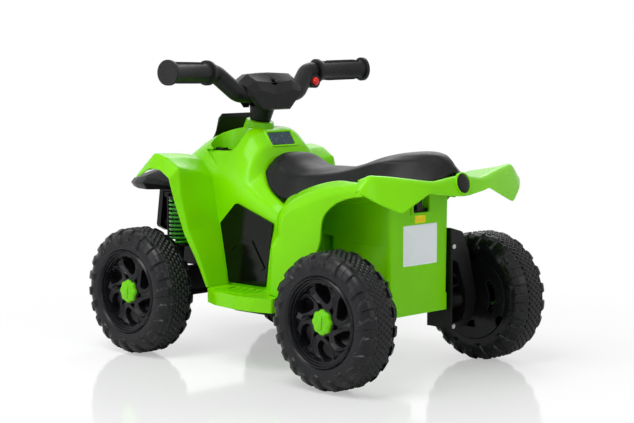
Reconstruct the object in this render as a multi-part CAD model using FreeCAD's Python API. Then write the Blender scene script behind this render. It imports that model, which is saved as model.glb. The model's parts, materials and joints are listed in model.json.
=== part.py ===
"""Child's battery quad bike, built from separate moulded, turned and bent pieces.

Frame: +Z up, forward is -Y, the rider's left is +X, origin on the ground in the middle of the plan box.
Sizes in millimetres. Everything below is worked out from the driving dimensions.
"""
import FreeCAD, Part
import math
import os

# Wheels and axles
TYRE_R = 95.0
TYRE_WIDTH = 65.3
RIM_R = 59.0
TYRE_WALL = 3.0
DISH_DEPTH = 14.0
SPOKE_WALL = 4.0
HUB_R = 15.0
OUTER_FACE_X = 194.3
REAR_AXLE_Y = 213.0
WHEELBASE = 402.0
AXLE_R = 5.0
RUN = 0.05
GAP = 0.35
HUB_CAP_R = 17.5
SPOKES = 6

# Body shell
WALL = 3.0
BODY_HALF = 92.0
BOX_HALF = 60.0
BOX_TOP_HALF = 63.0
BOX_BACK_Y = 224.0
BOX_FRONT_Y = 24.0
BOX_BOTTOM_Z = 86.0
BOX_TOP_Z = 258.0
BOX_EDGE_R = 4.0
STEP_Y = (96.0, 118.0)
STEP_TOP_Z = 194.0
STEP_DEPTH = 18.0
SIDE_PAD = (154.0, 220.0, 112.0, 186.5)
SIDE_PAD_RISE = 1.3
ARM_BOTTOM_Z = 58.0
ARM_TOP_Z = 203.0
LEFT_ARM_TOP_Z = 138.0
FOOT_TOP_Z = 108.0
FOOT_SKIRT = 20.0
FOOT_BACK_Y = 82.0
FENDER_SIDE_X = 130.0
CHASSIS_HALF = 56.0
CHASSIS_BOTTOM_Z = 62.0
SPINE_BACK_Y = 118.0

# Steering
RAKE_DEG = 12.2
COLUMN_Y = -96.0
COLUMN_Z = 345.0
COLUMN_R = 6.0
STEER_ARM = 35.0
KINGPIN_X = 110.0
KINGPIN_R = 4.0
GRIP_IN = (112.8, -88.5, 420.6)
GRIP_OUT = (205.2, -72.2, 422.6)
GRIP_R = 14.0
FLANGE_R = 18.4
BAR_END_R = 9.0
BAR_R = 13.5
BAR_MIDDLE = (62.0, -78.6, 389.0)
BAR_LEAD = 16.0
BAR_BEND = 21.0
SLEEVE_R = 19.4
COLLAR_Z = 322.0
BRIDGE_Z = 122.0
CRANK_Z = 108.0
ROD_Z = 84.0
BUTTON_X = -98.0
BUTTON_FACE_Y = -76.5
BUTTON_Z = 405.0
BUTTON_BOSS_R = 10.5

# Nose: front of the tower and underside of the lamp housing
TOWER_FRONT_Y = -236.0
LAMP_LOW_Z = 241.0
NOSE_Y = -308.0

# Front struts and springs
STRUT_X = 88.0
STRUT_FOOT = (-178.0, 161.0)
STRUT_HEAD = (-178.0, 228.0)
SPRING_R = 16.8
SPRING_WIRE_R = 2.0
SPRING_TURNS = 10

# Dash and switch: middle of the dash (y, z) with its slope, and the floor of the hollow beside the column
DASH_CENTRE = (-50.5, 321.5)
DASH_LEAN = math.radians(56)
RECESS = (60.0, -116.0, 304.0)
ROCKER_PIN_R = 0.9

LENS_R = 9.0

# Gears: teeth and module
MODULE = 1.0
PINION_TEETH = 10
FIRST_TEETH = 34
SMALL_TEETH = 12
OUTPUT_TEETH = 40
FACE_WIDTH = 6.0
MOTOR_R = 13.8

# Values that follow
WHEEL_Z = TYRE_R
FRONT_AXLE_Y = REAR_AXLE_Y - WHEELBASE
INNER_FACE_X = OUTER_FACE_X - TYRE_WIDTH
RAKE = math.radians(RAKE_DEG)
COLLAR_TOP_Z = COLLAR_Z + 26 * math.cos(RAKE)
SLIT = 0.05
ARM_X = BOX_TOP_HALF - 0.6
HUB_FACE = TYRE_WIDTH - 10.3
AXLE_END_X = INNER_FACE_X + HUB_FACE + 5
GEARBOX_X0 = BOX_TOP_HALF + 0.2
GEAR_X = GEARBOX_X0 + WALL + 1
GEARBOX_X1 = GEAR_X + 2 * FACE_WIDTH + 4
FENDER_IN_X = BOX_TOP_HALF + 0.4


def V(x, y, z):
    return FreeCAD.Vector(x, y, z)


def box(x0, x1, y0, y1, z0, z1):
    """Block between two corners."""
    return Part.makeBox(x1 - x0, y1 - y0, z1 - z0, V(x0, y0, z0))


def rod_x(x0, x1, y, z, r):
    """Cylinder along X."""
    return Part.makeCylinder(r, x1 - x0, V(x0, y, z), V(1, 0, 0))


def rod_y(x, y0, y1, z, r):
    """Cylinder along Y."""
    return Part.makeCylinder(r, y1 - y0, V(x, y0, z), V(0, 1, 0))


def rod_z(x, y, z0, z1, r):
    """Cylinder along Z."""
    return Part.makeCylinder(r, z1 - z0, V(x, y, z0), V(0, 0, 1))


def mirrored(shape):
    """The same piece on the other side of the bike."""
    return shape.mirror(V(0, 0, 0), V(1, 0, 0))


def fused(first, *rest):
    """One solid from pieces that overlap."""
    return first.multiFuse(list(rest)).removeSplitter()


def corner_arc(a, b, c, r):
    """Tangent points and middle of a fillet of radius r at corner b."""
    u = a.sub(b).normalize()
    w = c.sub(b).normalize()
    half = u.getAngle(w) / 2
    reach = r / math.tan(half)
    bisector = u.add(w).normalize()
    centre = b.add(bisector * (r / math.sin(half)))
    return b.add(u * reach), centre.sub(bisector * r), b.add(w * reach)


def rounded_wire(points, radii):
    """Closed wire of straight runs with a fillet of the given radius at each point, 0 for a sharp one."""
    count = len(points)
    if not hasattr(radii, "__len__"):
        radii = [radii] * count
    edges = []
    starts = []
    for i in range(count):
        if radii[i] > 0:
            p, m, n = corner_arc(points[i - 1], points[i], points[(i + 1) % count], radii[i])
            starts.append((p, n, Part.Arc(p, m, n).toShape()))
        else:
            starts.append((points[i], points[i], None))
    for i in range(count):
        if starts[i][2]:
            edges.append(starts[i][2])
        leave, arrive = starts[i][1], starts[(i + 1) % count][0]
        if leave.distanceToPoint(arrive) > 1e-6:
            edges.append(Part.LineSegment(leave, arrive).toShape())
    return Part.Wire(edges)


def plate_x(outline, x0, x1, radii=0.0):
    """Plate from an outline of (y, z) points, from x0 to x1."""
    wire = rounded_wire([V(x0, y, z) for y, z in outline], radii)
    return Part.Face(wire).extrude(V(x1 - x0, 0, 0))


def plate_y(outline, y0, y1, radii=0.0):
    """Plate from an outline of (x, z) points, from y0 to y1."""
    wire = rounded_wire([V(x, y0, z) for x, z in outline], radii)
    return Part.Face(wire).extrude(V(0, y1 - y0, 0))


def plate_z(outline, z0, z1, radii=0.0):
    """Plate from an outline of (x, y) points, from z0 to z1."""
    wire = rounded_wire([V(x, y, z0) for x, y in outline], radii)
    return Part.Face(wire).extrude(V(0, 0, z1 - z0))


def offset_line(points, wall):
    """A line of (x, r) points moved sideways by the wall, towards smaller r, with mitred corners."""
    moved = []
    normals = []
    for (x0, r0), (x1, r1) in zip(points, points[1:]):
        length = math.hypot(x1 - x0, r1 - r0)
        normals.append(((r1 - r0) / length, -(x1 - x0) / length))
    for i, (x, r) in enumerate(points):
        a = normals[max(i - 1, 0)]
        b = normals[min(i, len(normals) - 1)]
        scale = wall / max(1 + a[0] * b[0] + a[1] * b[1], 0.4)
        moved.append((x + (a[0] + b[0]) * scale, r + (a[1] + b[1]) * scale))
    return moved


def closed_wire(points):
    return Part.makePolygon(points + points[:1])


def fan_point(x, r, turn_deg, centre_y, sense):
    """Point on a half plane through an axle, turned up from the horizontal; sense is +1 where 0 is backwards."""
    turn = math.radians(turn_deg)
    return V(x, centre_y + sense * r * math.cos(turn), WHEEL_Z + r * math.sin(turn))


def fan_shell(stations, centre_y, sense, wall):
    """Mudguard sheet lofted around an axle through lines of (x, r) points."""
    wires = []
    for turn_deg, line in stations:
        ring = line + offset_line(line, wall)[::-1]
        wires.append(closed_wire([fan_point(x, r, turn_deg, centre_y, sense) for x, r in ring]))
    return Part.makeLoft(wires, True, True)


def save(name, shape):
    """Write one node."""
    solids = shape.Solids
    good = shape.isValid() and solids
    print(f"{name:22s} solids {len(solids)} volume {shape.Volume / 1000:9.2f} cm3 {'ok' if good else 'BAD'}")
    whole = solids[0] if len(solids) == 1 else Part.makeCompound(solids)
    whole.exportStep(f"parts/{name}.step")


os.makedirs("parts", exist_ok=True)


def front_fender():
    """Left front fender and leg shield: one sheet lofted up and over the front axle."""
    stations = [
        (6, [(84, 120), (93, 120), (112, 116), (127, 113), (128, 110)]),
        (24, [(84, 124), (92, 124), (113, 121), (137, 119), (138, 111)]),
        (45, [(84, 143), (96, 143), (122, 140), (152, 138), (154, 130)]),
        (58, [(84, 172), (104, 175), (134, 177), (162, 178), (169, 167)]),
        (64, [(84, 192), (110, 197), (136, 204), (164, 210.5), (176, 194)]),
        (72, [(84, 205), (116, 211), (140, 212), (167, 214), (173, 195)]),
        (79, [(84, 205), (112, 209), (140, 211), (166, 212), (172, 190)]),
        (88.7, [(84, 188), (110, 186), (140, 183), (163, 180), (170, 172)]),
    ]
    return fan_shell(stations, FRONT_AXLE_Y, 1, WALL)


def sheet_along_y(stations, wall):
    """Sheet lofted along Y through symmetric lines, each given by its half from the middle outwards."""
    wires = []
    for y, half in stations:
        line = [(-x, z) for x, z in half[:0:-1]] + half
        ring = line + offset_line(line, wall)[::-1]
        wires.append(closed_wire([V(x, y, z) for x, z in ring]))
    return Part.makeLoft(wires, True, True)


def hood_stations():
    """Half lines of the nose, the hump under the column and the flanks, from front to back."""
    low = FOOT_TOP_Z + GAP
    side = BODY_HALF
    return [
        (-196, [(0, 281), (46, 280), (68, 270), (82, 256), (88, 250), (91, 245)]),
        (-176, [(0, 305), (48, 304), (72, 292), (88, 272), (92, 264), (94, 256)]),
        (-146, [(0, 323), (52, 320), (77, 304), (93, 284), (95, 276), (96, 263)]),
        (-120, [(0, 332), (52, 329), (78, 309), (94, 284), (95, 273), (95, 256)]),
        (-99, [(0, 335), (50, 333), (75, 306), (91, 272), (side + 1, 240), (side + 1, 205)]),
        (-66, [(0, 336), (42, 334), (71, 305), (89, 265), (side, 200), (side, low)]),
        (-43, [(0, 312), (44, 310), (68, 292), (86, 260), (side, 200), (side, low)]),
        (-32, [(0, 276), (48, 276), (64, 272), (84, 254), (side, 200), (side, low)]),
        (-4, [(0, 246), (56, 246), (69, 251), (86, 238), (side, 200), (side, low)]),
        (30, [(0, 228), (60, 228), (75, 235), (86, 224), (side, 196), (side, low)]),
    ]


def hood_block():
    """The nose and flanks filled down to a flat underside, used to trim pieces that sit in the hood."""
    wires = []
    for y, half in hood_stations()[1:7]:
        line = [(-x, z) for x, z in half[:0:-1]] + half
        low = half[-1][1] - 1
        ring = line + [(half[-1][0], low), (-half[-1][0], low)]
        wires.append(closed_wire([V(x, y, z) for x, z in ring]))
    return Part.makeLoft(wires, True, True)


def dash_slab(half, up, down, rise, depth):
    """Block on the slope behind the column, measured along the slope, standing up from it and going into it."""
    slab = box(-half, half, -up, down, -depth, rise)
    slab.rotate(V(0, 0, 0), V(1, 0, 0), -math.degrees(DASH_LEAN))
    slab.translate(V(0, *DASH_CENTRE))
    return slab


def front_body_shell():
    """The front moulding: hood, both front fenders, collar, dash bezel and the hollow beside the column."""
    fender = front_fender()
    block = hood_block()
    shell = fused(sheet_along_y(hood_stations(), WALL), fender, mirrored(fender))
    collar = raked(Part.makeCone(27, 20.5, 26), COLLAR_Z)
    bezel = dash_slab(27, 13, 13, 1.5, 8)
    hollow_wall = Part.makeCone(18, 38, 36, V(RECESS[0], RECESS[1], RECESS[2] - WALL)).common(block)
    shell = fused(shell, collar, bezel, hollow_wall)
    tools = [raked(Part.makeCylinder(COLUMN_R + 6, 120, V(0, 0, -60)), COLLAR_Z),
             Part.makeCone(15, 35, 36, V(*RECESS)), dash_slab(23.5, 10.5, 10.5, 3, 1.2), rocker_seat(GAP),
             box(-BOX_TOP_HALF - GAP, BOX_TOP_HALF + GAP, BOX_FRONT_Y - GAP, 60, 80, 320),
             rear_fender_block(GAP), mirrored(rear_fender_block(GAP))]
    for tool in tools:
        shell = shell.cut(tool)
    return max(shell.removeSplitter().Solids, key=lambda solid: solid.Volume)


def column_y(z):
    """Y of the column's axis at a height."""
    return COLUMN_Y + (z - COLUMN_Z) * math.tan(RAKE)


def raked(shape, z):
    """A piece made upright at the origin, leaned back and set on the column's axis at height z."""
    turned = shape.copy()
    turned.rotate(V(0, 0, 0), V(1, 0, 0), -RAKE_DEG)
    turned.translate(V(0, column_y(z), z))
    return turned


def rear_fender_stations():
    """Lines of the left rear fender around its axle, from the footboard over the wheel to the wing."""
    a = FENDER_IN_X
    b = FENDER_SIDE_X
    return [
        (3, [(a, 173), (a, 195), (90, 195), (118, 170), (b - 2, 160.5), (b, 155), (b, 104)]),
        (22, [(a, 180), (a, 202), (90, 203), (116, 181), (b - 2, 168), (b, 161), (b, 104)]),
        (28.5, [(a, 186), (a, 208), (88, 211), (114, 190), (b - 2, 176), (b, 168), (b, 104)]),
        (35, [(a, 192), (a, 214), (78, 227), (112, 193), (b - 2, 172), (b, 163), (b, 104)]),
        (41, [(a, 192), (a, 214), (78, 226), (108, 206), (b - 4, 188), (b, 178), (b, 104)]),
        (50, [(a, 180), (a, 202), (80, 208), (95, 207.5), (b - 6, 192), (b, 178), (b, 104)]),
        (57, [(a, 172), (a, 194), (84, 200), (101, 200), (b - 5, 187), (b, 172), (b, 110)]),
        (69, [(a, 158), (a, 180), (88, 187), (106, 191.5), (b - 4, 181), (b, 168), (b, 143)]),
        (76.5, [(a, 154), (a, 176), (88, 183), (108, 188), (b - 4, 178), (b, 168), (b, 153)]),
        (90, [(a, 154), (a, 176), (92, 180), (122, 183), (b - 1, 178), (b + 1, 172), (b + 1, 163)]),
        (98, [(a, 154), (a, 176), (100, 180), (124, 186), (b, 180), (b + 3, 175), (b + 3, 168)]),
    ]


def rear_fender_block(grow):
    """The left rear fender's front, grown and filled towards the wheel, used to trim what stands before it."""
    wires = []
    for turn_deg, line in rear_fender_stations()[:6]:
        outer = offset_line(line[1:6], -grow)
        ring = outer + [(outer[-1][0], 60), (outer[0][0], 60)]
        wires.append(closed_wire([fan_point(x, r, turn_deg, REAR_AXLE_Y, -1) for x, r in ring]))
    return Part.makeLoft(wires, True, True)


def rear_fender():
    """Both rear fenders and the tail wing that joins them."""
    side = fan_shell(rear_fender_stations(), REAR_AXLE_Y, -1, WALL)
    a = FENDER_IN_X
    sections = [
        (0, (272, 270), (296, 284), (302, 258)),
        (48, (264, 270), (293, 278), (297, 262)),
        (a, (228, 269), (290, 279), (295, 265)),
        (119, (216, 278), (275, 287), (294, 241)),
        (150, (252, 284), (266, 291), (280, 256)),
        (168, (258, 267), (262, 273), (267, 268)),
    ]
    wires = []
    for x, deck, top, bottom in sections:
        line = [deck, top, bottom]
        ring = line + offset_line(line, WALL)[::-1]
        wires.append(closed_wire([V(x, y, z) for y, z in ring]))
    half = Part.makeLoft(wires, True, True)
    whole = fused(side, half, mirrored(half), mirrored(side))
    low = box(-200, 200, -50, FOOT_BACK_Y + 1, 60, FOOT_TOP_Z + GAP)
    return whole.cut(low).removeSplitter()


def rectangle(x, y0, y1, z):
    return closed_wire([V(-x, y0, z), V(x, y0, z), V(x, y1, z), V(-x, y1, z)])


def box_outside(grow):
    """Tapered outside of the box, its sides moved out by grow."""
    return Part.makeLoft([rectangle(BOX_HALF + grow, BOX_FRONT_Y, BOX_BACK_Y, BOX_BOTTOM_Z),
                          rectangle(BOX_TOP_HALF + grow, BOX_FRONT_Y, BOX_BACK_Y, BOX_TOP_Z)], True, True)


def back_edges(shape):
    """Upright and lower edges of the box's back face."""
    def at_back(edge):
        ends = [vertex.Point for vertex in edge.Vertexes]
        flat = all(abs(end.y - BOX_BACK_Y) < 0.01 for end in ends)
        return flat and min(end.z for end in ends) < BOX_BOTTOM_Z + 1
    return [edge for edge in shape.Edges if at_back(edge)]


def box_details(shell):
    """Stepped pocket low in each side, and the raised pad on the left side."""
    y0, y1 = STEP_Y
    deep = BOX_HALF - STEP_DEPTH
    for side in (-1, 1):
        def block(x0, x1, grow, top):
            return box(min(side * x0, side * x1), max(side * x0, side * x1), y0 - grow, y1 + grow,
                       BOX_BOTTOM_Z, top)
        shell = shell.fuse(block(deep - WALL, BOX_HALF - 1, WALL, STEP_TOP_Z + WALL))
        shell = shell.cut(block(deep, BOX_HALF + 9, 0, STEP_TOP_Z))
    a, b, low, high = SIDE_PAD
    return shell.fuse(box_outside(SIDE_PAD_RISE).common(box(BOX_HALF - 1, BOX_TOP_HALF + 9, a, b, low, high)))


def battery_box():
    """Box that closes the back: tapered walls, open top, axle tunnel and latch pocket."""
    outer = box_outside(0)
    outer = outer.makeFillet(BOX_EDGE_R, back_edges(outer))
    inner = Part.makeLoft([rectangle(BOX_HALF - WALL, BOX_FRONT_Y + WALL, BOX_BACK_Y - WALL, BOX_BOTTOM_Z + WALL),
                           rectangle(BOX_TOP_HALF - WALL, BOX_FRONT_Y + WALL, BOX_BACK_Y - WALL, BOX_TOP_Z + 1)],
                          True, True)
    shell = outer.cut(inner)
    tunnel = box(-BOX_HALF, BOX_HALF, REAR_AXLE_Y - 12, BOX_BACK_Y, BOX_BOTTOM_Z, WHEEL_Z + 15)
    bore = box(-80, 80, REAR_AXLE_Y - 9, REAR_AXLE_Y + 8, BOX_BOTTOM_Z - 1, WHEEL_Z + 12)
    pocket_back = box(-24, 19, BOX_BACK_Y - 14, BOX_BACK_Y, 224, BOX_TOP_Z)
    pocket = box(-21, 16, BOX_BACK_Y - 11, BOX_BACK_Y + 1, 227.5, BOX_TOP_Z + 1)
    _, _, (y, z), _, _ = gear_layout()
    motor_hole = rod_x(BOX_HALF - 8, BOX_HALF + 8, y, z, MOTOR_R + GAP)
    shell = box_details(shell.fuse(tunnel).fuse(pocket_back)).cut(bore).cut(pocket).cut(motor_hole)
    for side in (-1, 1):
        shell = shell.cut(box(min(side * 57, side * 64), max(side * 57, side * 64), BOX_FRONT_Y - 1, 84, 249.5, 259))
    return shell.removeSplitter()


def seat_form(shrink, drop):
    """Loft of the seat's crowned sections; shrink moves it inwards and drop lowers its underside."""
    stations = [
        (-33, 27, 295, 300.5, 44, 282),
        (-26, 40, 294, 303, 58, 273),
        (-8, 49, 289, 302, 68, 256),
        (12, 51, 279, 292, 73, 246),
        (32, 53, 273.5, 286.5, 74, 240),
        (60, 54, 275, 286, 74, 247.5),
        (110, 55, 281, 288, 70, 262.5),
        (150, 60, 289, 297, 69, 268),
        (185, 63, 298, 308, 70, 271.5),
        (210, 60, 303, 313, 68, 273),
        (232, 46, 304, 315, 64, 274.5),
        (250, 33, 304, 314.5, 56, 275.5),
        (264, 22, 302, 312, 46, 276.5),
        (276, 14, 297, 305, 36, 278),
        (285, 8, 290, 296, 24, 281),
    ]
    first, last = stations[0], stations[-1]
    stations = [(first[0] + shrink,) + first[1:]] + stations[1:-1] + [(last[0] - shrink,) + last[1:]]
    wires = []
    for y, side, shoulder, top, low_half, low in stations:
        edge = V(side - shrink, y, shoulder - shrink)
        other = V(shrink - side, y, shoulder - shrink)
        a = V(low_half - shrink, y, low - drop)
        b = V(shrink - low_half, y, low - drop)
        wires.append(Part.Wire([
            Part.LineSegment(b, other).toShape(),
            Part.Arc(other, V(0, y, top - shrink), edge).toShape(),
            Part.LineSegment(edge, a).toShape(),
            Part.LineSegment(a, b).toShape()]))
    return Part.makeLoft(wires, True, False)


def seat():
    """Seat moulding: front horn, saddle and rear hump, open underneath, with a finger slot behind."""
    shell = seat_form(0, 0).cut(seat_form(WALL, 2))
    slot = box(-9, 9, 231, 237, 300, 330)
    return shell.cut(slot)


def tube_along(points, r, bend):
    """Bent bar: straight runs joined by tangent arcs."""
    edges = []
    last = points[0]
    for a, b, c in zip(points, points[1:], points[2:]):
        p, m, n = corner_arc(a, b, c, bend)
        edges.append(Part.LineSegment(last, p).toShape())
        edges.append(Part.Arc(p, m, n).toShape())
        last = n
    edges.append(Part.LineSegment(last, points[-1]).toShape())
    path = Part.Wire(edges)
    section = Part.Wire(Part.makeCircle(r, points[0], points[1].sub(points[0])))
    return path.makePipeShell([section], True, False)


def grip_axis():
    """Unit vector along the left grip, outwards and a little back."""
    return V(*GRIP_OUT).sub(V(*GRIP_IN)).normalize()


def grip_length():
    """Length of a grip between its end faces."""
    return V(*GRIP_OUT).distanceToPoint(V(*GRIP_IN))


def bar_path(reach):
    """Corners of the bar's middle line, whose swept ends run the given way into the grips."""
    tip = V(*GRIP_IN).add(grip_axis() * reach)
    bend = V(*GRIP_IN).sub(grip_axis() * BAR_LEAD)
    left = [tip, bend, V(*BAR_MIDDLE)]
    return left + [V(-p.x, p.y, p.z) for p in reversed(left)]


def handlebar():
    """One-piece bar: swept ends under the grips, cranked arms, straight middle through the cover."""
    middle_z = BAR_MIDDLE[2]
    core = tube_along(bar_path(grip_length() - 3), BAR_END_R, BAR_BEND)
    arms = tube_along(bar_path(-SLIT), BAR_R, BAR_BEND)
    clamp = raked(Part.makeCylinder(13, 23, V(0, 0, -14)), middle_z)
    socket = raked(Part.makeCylinder(COLUMN_R + 0.1, 60, V(0, 0, -40)), middle_z)
    y = BUTTON_FACE_Y
    boss = rod_y(BUTTON_X, y - 16, y + 3, BUTTON_Z, BUTTON_BOSS_R)
    bore = rod_y(BUTTON_X, y - 3, y + 4, BUTTON_Z, 6.6)
    return fused(core, arms, clamp, boss).cut(socket).cut(bore)


def grip():
    """Left grip: sleeve with a flange at each end and a padded panel of ribs."""
    length = grip_length()
    body = fused(rod_x(0, length, 0, 0, GRIP_R), rod_x(0, 5, 0, 0, FLANGE_R),
                 rod_x(length - 5, length, 0, 0, FLANGE_R))
    for turn in (0, 180):
        pad = box(16, length - 12, -6, 6, GRIP_R - 3, GRIP_R + 0.8)
        ribs = [box(x, x + 1.6, -4.5, 4.5, GRIP_R, GRIP_R + 1.6) for x in range(24, int(length) - 20, 4)]
        panel = fused(pad, *ribs)
        panel.rotate(V(0, 0, 0), V(1, 0, 0), turn)
        body = body.fuse(panel)
    body = body.cut(rod_x(-1, length - 2.8, 0, 0, BAR_END_R + 0.1))
    body.Placement = FreeCAD.Placement(V(*GRIP_IN), FreeCAD.Rotation(V(1, 0, 0), grip_axis()))
    return body


def handlebar_cover():
    """Faceted pad over the middle of the bar, hollow underneath, with a slot near its top."""
    y0 = BAR_MIDDLE[1]
    stations = [
        (-33, [(0, 406), (26, 405), (37, 398), (36, 386), (21, 372)]),
        (-25, [(0, 419), (30, 417), (46, 408), (46, 388), (27, 367)]),
        (0, [(0, 420), (44, 418), (62, 406), (60, 388), (42, 365)]),
        (14, [(0, 404), (38, 408), (56, 399), (56, 388), (33, 364)]),
        (20, [(0, 387), (34, 394), (50, 391), (50, 387), (29, 366)]),
    ]
    wires = []
    for dy, half in stations:
        line = [(-x, z) for x, z in half[:0:-1]] + half
        wires.append(closed_wire([V(x, y0 + dy, z) for x, z in line]))
    solid = Part.makeLoft(wires, True, True)
    hollow = []
    for dy, half in stations[1:4]:
        shrunk = [(max(x - WALL, 0), z - WALL if z > 380 else z - 12) for x, z in half]
        line = [(-x, z) for x, z in shrunk[:0:-1]] + shrunk
        hollow.append(closed_wire([V(x, y0 + dy, z) for x, z in line]))
    solid = solid.cut(Part.makeLoft(hollow, True, True))
    bar = tube_along(bar_path(0), BAR_R + GAP, BAR_BEND)
    slot = box(-4, 4, y0 + 8, y0 + 13, 400, 425)
    neck = raked(Part.makeCylinder(SLEEVE_R + 0.4, 60, V(0, 0, -40)), BAR_MIDDLE[2])
    return solid.cut(bar).cut(slot).cut(neck)


def column_sleeve():
    """Sleeve between the cover and the collar of the hood."""
    outer = raked(Part.makeCone(SLEEVE_R - 4, SLEEVE_R, 22), COLLAR_TOP_Z + GAP)
    spigot = raked(Part.makeCylinder(COLUMN_R + 6 - SLIT, 22, V(0, 0, -18)), COLLAR_TOP_Z)
    inner = raked(Part.makeCylinder(COLUMN_R + SLIT, 60, V(0, 0, -25)), COLLAR_TOP_Z)
    return outer.fuse(spigot).cut(inner).removeSplitter()


def steering_column():
    """Steel rod: raked shaft, crank bent backwards at the bottom and a pin down into the tie rod."""
    length = (BAR_MIDDLE[2] + 8 - CRANK_Z) / math.cos(RAKE)
    shaft = raked(Part.makeCylinder(COLUMN_R, length + 3, V(0, 0, -3)), CRANK_Z)
    web = raked(box(-5, 5, 0, STEER_ARM, -3, 3), CRANK_Z)
    pin = raked(Part.makeCylinder(4, 22, V(0, STEER_ARM, -19)), CRANK_Z)
    return fused(shaft, web, pin)


def red_button():
    """Push button: domed cap on a stem."""
    y = BUTTON_FACE_Y
    stem = rod_y(BUTTON_X, y + 0.5, y + 6.5, BUTTON_Z, 6.3)
    return stem.common(Part.makeSphere(9, V(BUTTON_X, y - 2, BUTTON_Z)))


def side_panel():
    """Left engine side panel: plate on the flank with a raised hood-shaped rib."""
    outline = [(-83, 199), (-49, 231), (28, 206), (12, 112), (-65, 112)]
    plate = plate_x(outline, BODY_HALF + GAP, BODY_HALF + 3.3, [3, 8, 3, 3, 3])
    rib = plate_x([(-62, 166), (-50, 176), (-14, 178), (12, 140), (6, 136), (-17, 171), (-48, 169), (-58, 160)],
                  BODY_HALF + 3.2, BODY_HALF + 5.2)
    return plate.fuse(rib)


def footboard():
    """Left footboard: ribbed deck with a skirt round its free edge, hollow underneath."""
    a = CHASSIS_HALF + GAP
    back = FOOT_BACK_Y
    outline = [(a, -68), (122, -68), (140, -64), (155, -30), (161, 15), (160, 50), (150, back), (a, back)]
    radii = [0, 4, 10, 40, 40, 30, 4, 0]
    solid = plate_z(outline, FOOT_TOP_Z - FOOT_SKIRT, FOOT_TOP_Z, radii)
    inside = [(a + WALL, -65), (121, -65), (138, -61), (152, -30), (158, 15), (157, 50),
              (148, back - WALL), (a + WALL, back - WALL)]
    hollow = plate_z(inside, FOOT_TOP_Z - FOOT_SKIRT - 1, FOOT_TOP_Z - WALL, [0, 4, 10, 40, 40, 30, 4, 0])
    deck = solid.cut(hollow)
    for i in range(5):
        y = -46 + 14 * i
        rib = plate_z([(102, y), (124, y + 9), (144, y), (144, y + 4), (124, y + 13), (102, y + 4)],
                      FOOT_TOP_Z - 0.5, FOOT_TOP_Z + 1.6)
        deck = deck.fuse(rib)
    notch = box(0, BOX_HALF + GAP, BOX_FRONT_Y - GAP, back + 1, 60, 120)
    return deck.cut(notch).removeSplitter()


def chassis_base():
    """Spine under the body, with the front tower that carries axle, column and nose."""
    half = CHASSIS_HALF
    front = -95
    spine = box(-half, half, front, SPINE_BACK_Y, CHASSIS_BOTTOM_Z, BOX_BOTTOM_Z - GAP)
    raised = box(-half, half, front, BOX_FRONT_Y - GAP, CHASSIS_BOTTOM_Z, FOOT_TOP_Z - 6)
    hollow = box(-half + WALL, half - WALL, front + WALL, BOX_FRONT_Y - GAP - WALL, CHASSIS_BOTTOM_Z + WALL, 120)
    under = box(-half + WALL, half - WALL, BOX_FRONT_Y + 1, SPINE_BACK_Y - WALL, CHASSIS_BOTTOM_Z - 1,
                BOX_BOTTOM_Z - GAP - WALL)
    reach = BODY_HALF - WALL - SLIT
    outrigger = box(-reach, reach, -64, -50, FOOT_TOP_Z + GAP, FOOT_TOP_Z + 6)
    gusset = box(-50, 50, -64, -50, FOOT_TOP_Z - 15, FOOT_TOP_Z + 2)
    tower = box(-50, 50, TOWER_FRONT_Y, front + WALL, BRIDGE_Z, 236)
    inside = box(-47, 47, TOWER_FRONT_Y + WALL, front, BRIDGE_Z + 5, 237)
    bulkhead = box(-50, 50, front, front + WALL, CHASSIS_BOTTOM_Z, 236)
    shelf = box(-46, 46, -270, TOWER_FRONT_Y + WALL, 232, LAMP_LOW_Z - SLIT)
    bush = raked(Part.makeCylinder(14, 22, V(0, 0, -8)), BRIDGE_Z + 3)
    floor = box(-20, 20, -170, -125, BRIDGE_Z, BRIDGE_Z + 5)
    body = fused(spine, raised).cut(hollow).cut(under)
    body = fused(body, tower.cut(inside), bulkhead, outrigger, gusset, shelf, floor, bush)
    bore = raked(Part.makeCylinder(COLUMN_R + RUN, 60, V(0, 0, -30)), BRIDGE_Z + 3)
    shelf_pocket = box(-43, 43, -267, TOWER_FRONT_Y - 1, 235, 260)
    return body.cut(bore).cut(shelf_pocket).removeSplitter()


def front_axle_beam():
    """Cross beam with a yoke at each end for the steering knuckles."""
    beam = box(-98, 98, FRONT_AXLE_Y - 8, FRONT_AXLE_Y + 8, WHEEL_Z - 16, BRIDGE_Z - GAP)
    for side in (-1, 1):
        ear = rod_z(side * KINGPIN_X, FRONT_AXLE_Y, WHEEL_Z - 20, BRIDGE_Z - GAP, 9)
        bridge = box(min(side * 98, side * KINGPIN_X), max(side * 98, side * KINGPIN_X),
                     FRONT_AXLE_Y - 9, FRONT_AXLE_Y + 9, WHEEL_Z - 20, BRIDGE_Z - GAP)
        end = ear.fuse(bridge)
        throat = box(min(side * 98.5, side * 130), max(side * 98.5, side * 130), FRONT_AXLE_Y - 10, FRONT_AXLE_Y + 10,
                     WHEEL_Z - 12.3, WHEEL_Z + 12.3)
        hole = rod_z(side * KINGPIN_X, FRONT_AXLE_Y, WHEEL_Z - 21, BRIDGE_Z + 1, KINGPIN_R + RUN)
        beam = beam.fuse(end.cut(throat)).cut(hole)
    for side in (-1, 1):
        for face in (-1, 1):
            pocket = box(min(side * 6, side * 90), max(side * 6, side * 90),
                         min(FRONT_AXLE_Y + face * 3, FRONT_AXLE_Y + face * 9),
                         max(FRONT_AXLE_Y + face * 3, FRONT_AXLE_Y + face * 9), WHEEL_Z - 12, WHEEL_Z + 14)
            beam = beam.cut(pocket)
    return beam.removeSplitter()


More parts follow.
